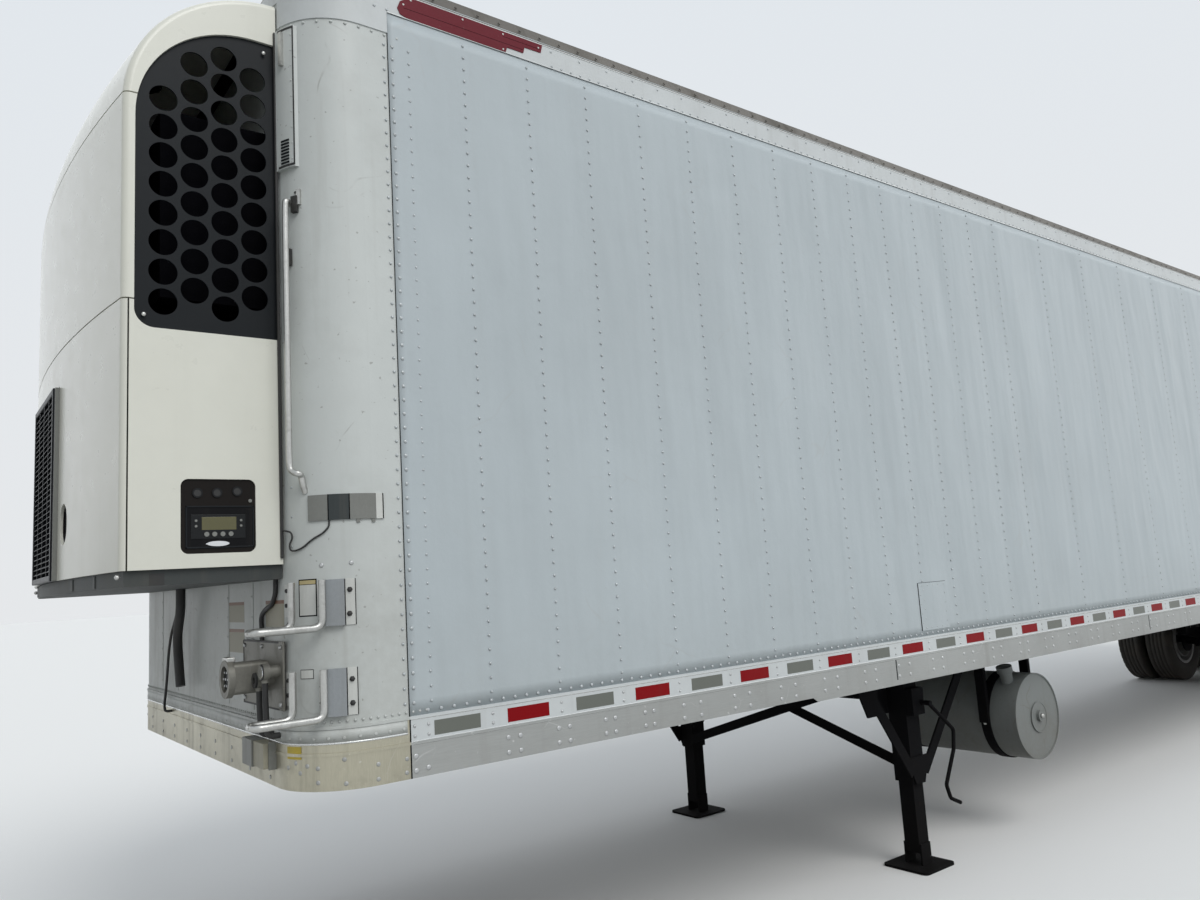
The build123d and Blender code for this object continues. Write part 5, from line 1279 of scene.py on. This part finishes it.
class TRAILER_OT_unit(bpy.types.Operator):
    """Dress the cooling unit: panel, grilles, gasket, latches and tray"""

    bl_idname = "trailer.unit"
    bl_label = "Cooling unit"

    def execute(self, context):
        self.panel()
        self.hood()
        self.front()
        self.tray()
        return {"FINISHED"}

    def on_panel(self, distance, height, out=0.0):
        """A place on the control panel: distance is ahead of the nose, out is off the panel's face."""
        return Vector((ahead(distance), UNIT_HALF - 0.006 + out, height))

    def panel(self):
        """Screen, buttons, sockets and blank plates of the control panel."""
        at = self.on_panel
        side = Vector((0, 1, 0))
        bars = (
            (0.096, 1.925, 0.314, 1.930),
            (0.096, 2.060, 0.314, 2.065),
            (0.096, 1.925, 0.101, 2.065),
            (0.309, 1.925, 0.314, 2.065),
        )
        rim = [(at(near, low, -0.001), at(far, high, 0.003)) for near, low, far, high in bars]
        boxes("panel_frame", rim, "unit_grille", bevel=0.001)
        boxes("panel_inset", [(at(0.101, 1.930, -0.001), at(0.309, 2.060, 0.0005))], "panel_brown")
        screen = [(at(0.124, 1.956), at(0.298, 2.036, 0.0025))]
        boxes("panel_screen_frame", screen, "black_gloss", bevel=0.001)
        screen = [(at(0.154, 1.985, 0.001), at(0.264, 2.028, 0.003))]
        boxes("panel_screen", screen, "screen_olive", bevel=0.0006)
        small = [(at(x, z, 0.002), side, 0.0042, 0.003) for x in (0.282, 0.139) for z in (2.016, 1.998)]
        discs("panel_buttons_small", small, "strip_grey", segments=10)
        large = [(at(x, 1.971, 0.002), side) for x in (0.249, 0.224, 0.198, 0.172)]
        discs("panel_buttons", [(*button, 0.008, 0.003) for button in large], "strip_grey", segments=14)
        rims = [(*button, 0.0095, 0.008, 0.0022) for button in large]
        rings("panel_button_rims", rims, "black_gloss", segments=14)
        self.badge(at(0.2125, 1.9395, 0.001), 0.0395, 0.0095)
        ports = [(at(x, z, -0.001), side) for x, z in ((0.277, 2.108), (0.215, 2.109), (0.150, 2.114))]
        rings("panel_ports", [(*port, 0.0165, 0.012, 0.005) for port in ports], "black_gloss", segments=18)
        discs("panel_port_lids", [(*port, 0.012, 0.0035) for port in ports], "black_rubber", segments=18)
        discs("panel_lamp", [(at(0.108, 2.082), side, 0.006, 0.003)], "strip_grey", segments=12)

    def badge(self, where, half, tall):
        """A blank chrome oval."""
        bm = bmesh.new()
        place = facing(where, (0, 1, 0)) @ Matrix.Diagonal((half, tall, 1, 1))
        bmesh.ops.create_cone(
            bm, cap_ends=True, segments=32, radius1=1, radius2=0.9, depth=0.003, matrix=place
        )
        piece("panel_badge", bm, "chrome", smooth=False)

    def hood(self):
        """Gasket at the wall, screws and latches."""
        low = (NOSE + 0.0003, UNIT_HALF - 0.003, UNIT_BOTTOM + 0.02)
        high = (NOSE + 0.010, UNIT_HALF + 0.009, UNIT_TOP - 0.12)
        boxes("unit_gasket", mirrored([(low, high)]), "black_rubber", bevel=0.002)
        screws = [(ahead(x), UNIT_HALF, z) for x, z in UNIT_SCREWS]
        side_heads("unit_screws", screws, 0.0075, 0.004, "zinc_steel", sides=12, domed=True)
        places = [(way * run, z) for way in (1, -1) for run, z in ((1.181, 3.140), (1.150, 2.948))]
        latches = [((run - 0.012, run + 0.012), (z - 0.03, z + 0.03), (0.001, 0.014)) for run, z in places]
        plates("nose_latches", latches, "black_rubber")

    def front(self):
        """Frame, louvres and bars of the centre grille, and trim beside it."""
        low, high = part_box("unit_centre_grille")
        back, face = low.x, high.x
        wide = 0.022
        bm = bmesh.new()
        for corners in (
            ((back, low.y, low.z), (face, low.y + wide, high.z)),
            ((back, high.y - wide, low.z), (face, high.y, high.z)),
            ((back, low.y + wide, low.z), (face, high.y - wide, low.z + wide)),
            ((back, low.y + wide, high.z - wide), (face, high.y - wide, high.z)),
        ):
            add_box(bm, *corners, bevel=0.003)
        tilt = Matrix.Rotation(math.radians(35), 4, "Y")
        for z in spread(low.z + 0.04, high.z - 0.035, 0.021):
            ends = (face - 0.012, low.y + wide, z - 0.0012), (face - 0.002, high.y - wide, z + 0.0012)
            add_box(bm, *ends, turn=tilt)
        for y in (-0.145, 0.0, 0.145):
            ends = (back + 0.001, y - 0.004, low.z + wide), (face - 0.003, y + 0.004, high.z - wide)
            add_box(bm, *ends, bevel=0.001)
        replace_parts(piece("centre_grille", bm, "unit_grille", smooth=False), "unit_centre_grille")
        # A near-black sheet behind the louvres: painted shade inside the unit
        sheet = ((back, low.y + 0.01, low.z + 0.01), (back + 0.002, high.y - 0.01, high.z - 0.01))
        boxes("grille_back", [sheet], "unit_metal")
        trim = ((face - 0.030, high.y + 0.004, low.z), (face - 0.006, high.y + 0.016, high.z))
        boxes("grille_trim", mirrored([trim]), "strip_grey", bevel=0.002)

    def tray(self):
        """Blocks on the tray's front, each set where a ray meets it, and its notch and bolts."""
        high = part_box("unit_base_tray")[1]
        blocks = []
        for near, far in ((0.30, 0.52), (0.63, 0.81), (-0.52, -0.30), (-0.81, -0.63)):
            start = Vector((high.x + 0.5, far if far > 0 else near, high.z - 0.025))
            hit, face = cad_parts["unit_base_tray"].ray_cast(start, Vector((-1, 0, 0)))[:2]
            if hit:
                blocks.append(((face.x - 0.02, near, high.z - 0.046), (face.x + 0.004, far, high.z - 0.004)))
        boxes("tray_blocks", blocks, "unit_slate", bevel=0.003)
        notch = ((ahead(0.375), high.y - 0.004, 1.813), (ahead(0.42), high.y + 0.0006, 1.850))
        boxes("tray_notch", [notch], "black_rubber")
        side_heads("tray_bolt", [(ahead(0.511), high.y, 1.843)], 0.009, 0.006, "zinc_steel")


class TRAILER_OT_running(bpy.types.Operator):
    """Add tyre treads and wheel nuts"""

    bl_idname = "trailer.running"
    bl_label = "Running gear"

    def execute(self, context):
        grooves = context.scene.trailer_sizes.tread_grooves
        for node in TYRE_NODES:
            low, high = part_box(node)
            wheel = node.replace("tyres_", "")
            self.tyres(node, (low + high) / 2, high - low, wheel + "_wheels", grooves)
            self.nuts(wheel, (low + high) / 2, wheel + "_wheels")
        return {"FINISHED"}

    def tyres(self, node, centre, size, body, grooves):
        """Both tyres of a twin wheel, turned from one profile with grooves and shoulder notches."""
        radius, half = min(size.x, size.z) / 2 - 0.0001, (size.y - DUAL_SPACING) / 2
        wall = [
            (RIM_RADIUS + 0.001, half - 0.030),
            (RIM_RADIUS + 0.022, half - 0.016),
            (RIM_RADIUS + 0.062, half - 0.006),
            (RIM_RADIUS + 0.112, half),
            (RIM_RADIUS + 0.145, half - 0.003),
            (radius - 0.042, half - 0.010),
            (radius - 0.020, half - 0.017),
            (radius - 0.005, half - 0.024),
            (radius - 0.001, half - 0.030),
        ]
        groove = ((-0.0048, 0.0), (-0.0032, GROOVE_DEPTH), (0.0032, GROOVE_DEPTH), (0.0048, 0.0))
        middles = [(k - (grooves - 1) / 2) * GROOVE_PITCH for k in range(grooves)]
        tread = [(radius - fall, middle + step) for middle in middles for step, fall in groove]
        tyre = turned([(reach, -y) for reach, y in wall] + tread + wall[::-1], TYRE_STEPS)
        for vert in tyre.verts:
            x, y, z = vert.co
            step = round(math.atan2(y, x) / (2 * math.pi) * TYRE_STEPS)
            if step % NOTCH_EVERY == 0 and half - 0.0245 < abs(z) < half - 0.0165:
                share = 1 - NOTCH_DEPTH / math.hypot(x, y)
                vert.co = (x * share, y * share, z)
        lay = Matrix.Rotation(-math.pi / 2, 4, "X")
        outs = [Vector((0, way * DUAL_SPACING / 2, 0)) for way in (-1, 1)]
        bm = bmesh.new()
        join(bm, tyre, [Matrix.Translation(centre + out) @ lay for out in outs])
        made = piece(node.replace("tyres", "treads"), bm, "tyre_rubber", body)
        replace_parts(made, node)

    def nuts(self, wheel, centre, body):
        """Nuts and studs round the outer wheel's disc, facing outwards."""
        side = 1 if centre.y > 0 else -1
        normal = Vector((0, side, 0))
        spots = []
        for k in range(WHEEL_NUTS):
            angle = 2 * math.pi * (k + 0.5) / WHEEL_NUTS
            out = Vector((math.cos(angle), 0, math.sin(angle))) * NUT_CIRCLE
            spots.append(centre + out + normal * DISC_THICKNESS)
        heads(wheel + "_nuts", [(spot, normal) for spot in spots], 0.0185, 0.024, "galvanised", body)
        ends = [(spot + normal * 0.02, normal) for spot in spots]
        heads(wheel + "_studs", ends, 0.0105, 0.018, "galvanised", body, sides=8)


class TRAILER_OT_fittings(bpy.types.Operator):
    """Add the grab rail, the red plate, the patch, and the fittings of the tank and the tail"""

    bl_idname = "trailer.fittings"
    bl_label = "Fittings"

    def execute(self, context):
        self.grab_rail()
        self.red_plate()
        self.patch()
        self.tank()
        self.doors()
        self.guard()
        return {"FINISHED"}

    def grab_rail(self):
        """A slim rail with both ends turned in to clamps on the rounded corner."""
        low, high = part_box("grab_rail")
        y, x = low.y + 0.011, NOSE + 0.004
        top = high.z - 0.016
        foot, way = on_nose(1.197, low.z + 0.016)
        points = [
            on_nose(1.150, top, -0.010)[0],
            (x - 0.004, y + 0.001, high.z - 0.014),
            (x, y, high.z - 0.040),
            (x, y, 2.9),
            (x, y, 2.6),
            (x, y, 2.3),
            (x, y, low.z + 0.100),
            (x - 0.004, y + 0.006, low.z + 0.074),
            (x - 0.022, y + 0.032, low.z + 0.064),
            foot + way * 0.020 + Vector((0, 0, 0.046)),
            foot + way * 0.012 + Vector((0, 0, 0.010)),
            foot - way * 0.004 + Vector((0, 0, -0.012)),
        ]
        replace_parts(tube("grab_rail_slim", points, 0.011, "zinc_steel"), "grab_rail")
        clamps = [
            ((1.188, 1.204), (top - 0.012, top + 0.046), (0.0, 0.010)),
            ((1.120, 1.200), (top - 0.008, top + 0.006), (0.0, 0.004)),
        ]
        plates("grab_rail_clamp", clamps, "zinc_steel")
        bolts = [on_nose(1.186, top + rise, 0.002) for rise in (0.012, 0.034)]
        bolts += [on_nose(1.190, low.z + rise, 0.001) for rise in (0.022, 0.044)]
        heads("grab_rail_bolts", bolts, 0.0085, 0.008, "black_rubber")

    def red_plate(self):
        """The blank red plate on each top rail with its screws, and a line and two grooves on the road side's
        plate only.
        """
        face = HALF - 0.0036
        for side, word in SIDES:
            bm = bmesh.new()
            corners = [bm.verts.new((ahead(-back), side * face, z)) for back, z in RED_PLATE]
            grown = bmesh.ops.extrude_face_region(bm, geom=[bm.faces.new(corners)])["geom"]
            front = [item for item in grown if isinstance(item, bmesh.types.BMVert)]
            bmesh.ops.translate(bm, vec=(0, side * 0.0031, 0), verts=front)
            bmesh.ops.recalc_face_normals(bm, faces=bm.faces[:])
            piece("red_plate_" + word, bm, "plate_red", smooth=False)
        root = face + 0.0025
        line = ((ahead(-1.072), root, 4.0275), (ahead(-0.49), face + 0.0035, 4.0290))
        boxes("red_plate_lines", [line], "label_white")
        # The two grooves are flat near-black strips on the plate's face: painted shade in them
        grooves = [
            ((ahead(-1.066), root, 4.004), (ahead(-0.880), face + 0.0033, 4.0055)),
            ((ahead(-0.975), root, 3.975), (ahead(-0.430), face + 0.0033, 3.9765)),
        ]
        boxes("red_plate_grooves", grooves, "unit_metal")
        screws = [(ahead(-back), face + 0.0030, z) for back, z in RED_PLATE_SCREWS]
        side_heads("red_plate_screws", screws, 0.005, 0.0005, "label_white", sides=10)

    def patch(self):
        """A riveted patch on the road side, with dark edges ahead of it and above it."""
        face = SHEET + 0.0046
        (back, low), (front, high) = (ahead(-3.645), 1.347), (ahead(-3.386), 1.603)
        boxes("patch_panel", [((back, face - 0.0022, low), (front, face + 0.0006, high))], "side_paint")
        edge = [
            ((front - 0.001, face - 0.002, low), (front + 0.003, face + 0.0004, high)),
            ((back, face - 0.002, high), (front, face + 0.0003, high + 0.002)),
        ]
        boxes("patch_edge", edge, "unit_metal")
        along = spread(back + 0.02, front - 0.01, RIVET_PITCH)
        upright = spread(low + 0.04, high - 0.02, RIVET_PITCH)
        rim = [(x, z) for x in along for z in (low + 0.014, high - 0.014)]
        rim += [(x, z) for z in upright for x in (back + 0.014, front - 0.014)]
        places = [(Vector((x, face + 0.0004, z)), Vector((0, 1, 0))) for x, z in rim]
        heads("patch_rivets", places, 0.0045, 0.0016, "rivet_metal")

    def tank(self):
        """Rim, plug, welds and strap bolts of the fuel tank."""
        low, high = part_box("fuel_tank")
        side, down = Vector((0, 1, 0)), Vector((0, 0, -1))
        end = high.y - 0.020
        middle = Vector(((low.x + high.x) / 2, end, low.z + (high.x - low.x) / 2))
        rings("tank_rim", [(middle - side * 0.001, side, 0.2645, 0.2565, 0.003)], "tank_paint", segments=64)
        boss = Vector((middle.x - 0.012, end + 0.020, middle.z))
        heads("tank_plug", [(boss, side)], 0.019, 0.014, "zinc_steel")
        welds = [
            (boss - side * 0.0175, side, 0.0365, 0.030, 0.004),
            (boss - side * 0.0178 + down * 0.008, side, 0.094, 0.089, 0.0026),
        ]
        rings("tank_weld", welds, "tank_paint", segments=40)
        spots = [(middle.x + way * 0.277, end - back) for way in (1, -1) for back in (0.200, 0.830)]
        bolts = [(Vector((x, y, middle.z - 0.020)), down) for x, y in spots]
        heads("strap_bolts", bolts, 0.013, 0.012, "zinc_steel")

    def doors(self):
        """Gasket, rivets and tape of each rear door."""
        wide, thick = 0.014, 0.006
        for _, word in SIDES:
            body = word + "_door"
            low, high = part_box("rear_door_" + word)
            x, (y0, y1), (z0, z1) = low.x, (low.y + 0.001, high.y - 0.001), (low.z + 0.001, high.z - 0.001)
            back, front = x - thick, x + 0.001
            bars = [
                ((back, y0, z0), (front, y0 + wide, z1)),
                ((back, y1 - wide, z0), (front, y1, z1)),
                ((back, y0 + wide, z0), (front, y1 - wide, z0 + wide)),
                ((back, y0 + wide, z1 - wide), (front, y1 - wide, z1)),
            ]
            boxes("door_gasket_" + word, bars, "black_rubber", bevel=0.002, body=body)
            across = [y0 + (y1 - y0) * share for share in spread(0.06, 0.94, 0.08)]
            dots = [(Vector((x, y, z)), Vector((-1, 0, 0))) for y in across for z in (z0 + 0.05, z1 - 0.05)]
            heads("door_rivets_" + word, dots, 0.005, 0.0024, "rivet_metal", body=body)
            pitch = (y1 - y0 - 0.08) / 6
            back, front = x - 0.0006, x + 0.0002
            for kind, paint in enumerate(("tape_red", "tape_silver")):
                firsts = [y0 + 0.04 + pitch * number for number in range(kind, 6, 2)]
                spots = [((back, y, z0 + 0.10), (front, y + pitch - 0.004, z0 + 0.15)) for y in firsts]
                boxes(f"door_{paint}_{word}", spots, paint, body=body)

    def guard(self):
        """Tape along the rear guard."""
        low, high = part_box("rear_guard")
        back, front = low.x - 0.0008, low.x + 0.001
        pitch = (high.y - low.y - 0.04) / 10
        for kind, paint in enumerate(("tape_red", "tape_silver")):
            firsts = [low.y + 0.02 + pitch * number for number in range(kind, 10, 2)]
            spots = [((back, y, low.z + 0.025), (front, y + pitch - 0.002, low.z + 0.075)) for y in firsts]
            boxes("guard_" + paint, spots, paint)


CLASSES = (
    TrailerColours,
    TrailerSizes,
    TRAILER_OT_stage,
    TRAILER_OT_finishes,
    TRAILER_OT_sheets,
    TRAILER_OT_rivets,
    TRAILER_OT_rails,
    TRAILER_OT_nose,
    TRAILER_OT_unit,
    TRAILER_OT_running,
    TRAILER_OT_fittings,
)
STEPS = [c.bl_idname for c in CLASSES if issubclass(c, bpy.types.Operator)]


class TRAILER_PT_panel(bpy.types.Panel):
    """Lists the steps that dress the trailer"""

    bl_label = "Trailer"
    bl_space_type = "VIEW_3D"
    bl_region_type = "UI"
    bl_category = "Trailer"

    def draw(self, context):
        for group in (context.scene.trailer_colours, context.scene.trailer_sizes):
            for name in group.__annotations__:
                self.layout.prop(group, name)
        for step in STEPS:
            self.layout.operator(step)


def register():
    """Register the classes and hang the settings on the scene."""
    for kind in (*CLASSES, TRAILER_PT_panel):
        bpy.utils.register_class(kind)
    bpy.types.Scene.trailer_colours = PointerProperty(type=TrailerColours)
    bpy.types.Scene.trailer_sizes = PointerProperty(type=TrailerSizes)


def unregister():
    """Take the settings and the classes away again."""
    del bpy.types.Scene.trailer_sizes
    del bpy.types.Scene.trailer_colours
    for kind in reversed((*CLASSES, TRAILER_PT_panel)):
        bpy.utils.unregister_class(kind)


def main():
    """Run every step in turn."""
    register()
    for step in STEPS:
        group, name = step.split(".")
        getattr(getattr(bpy.ops, group), name)()


if __name__ == "__main__":
    main()
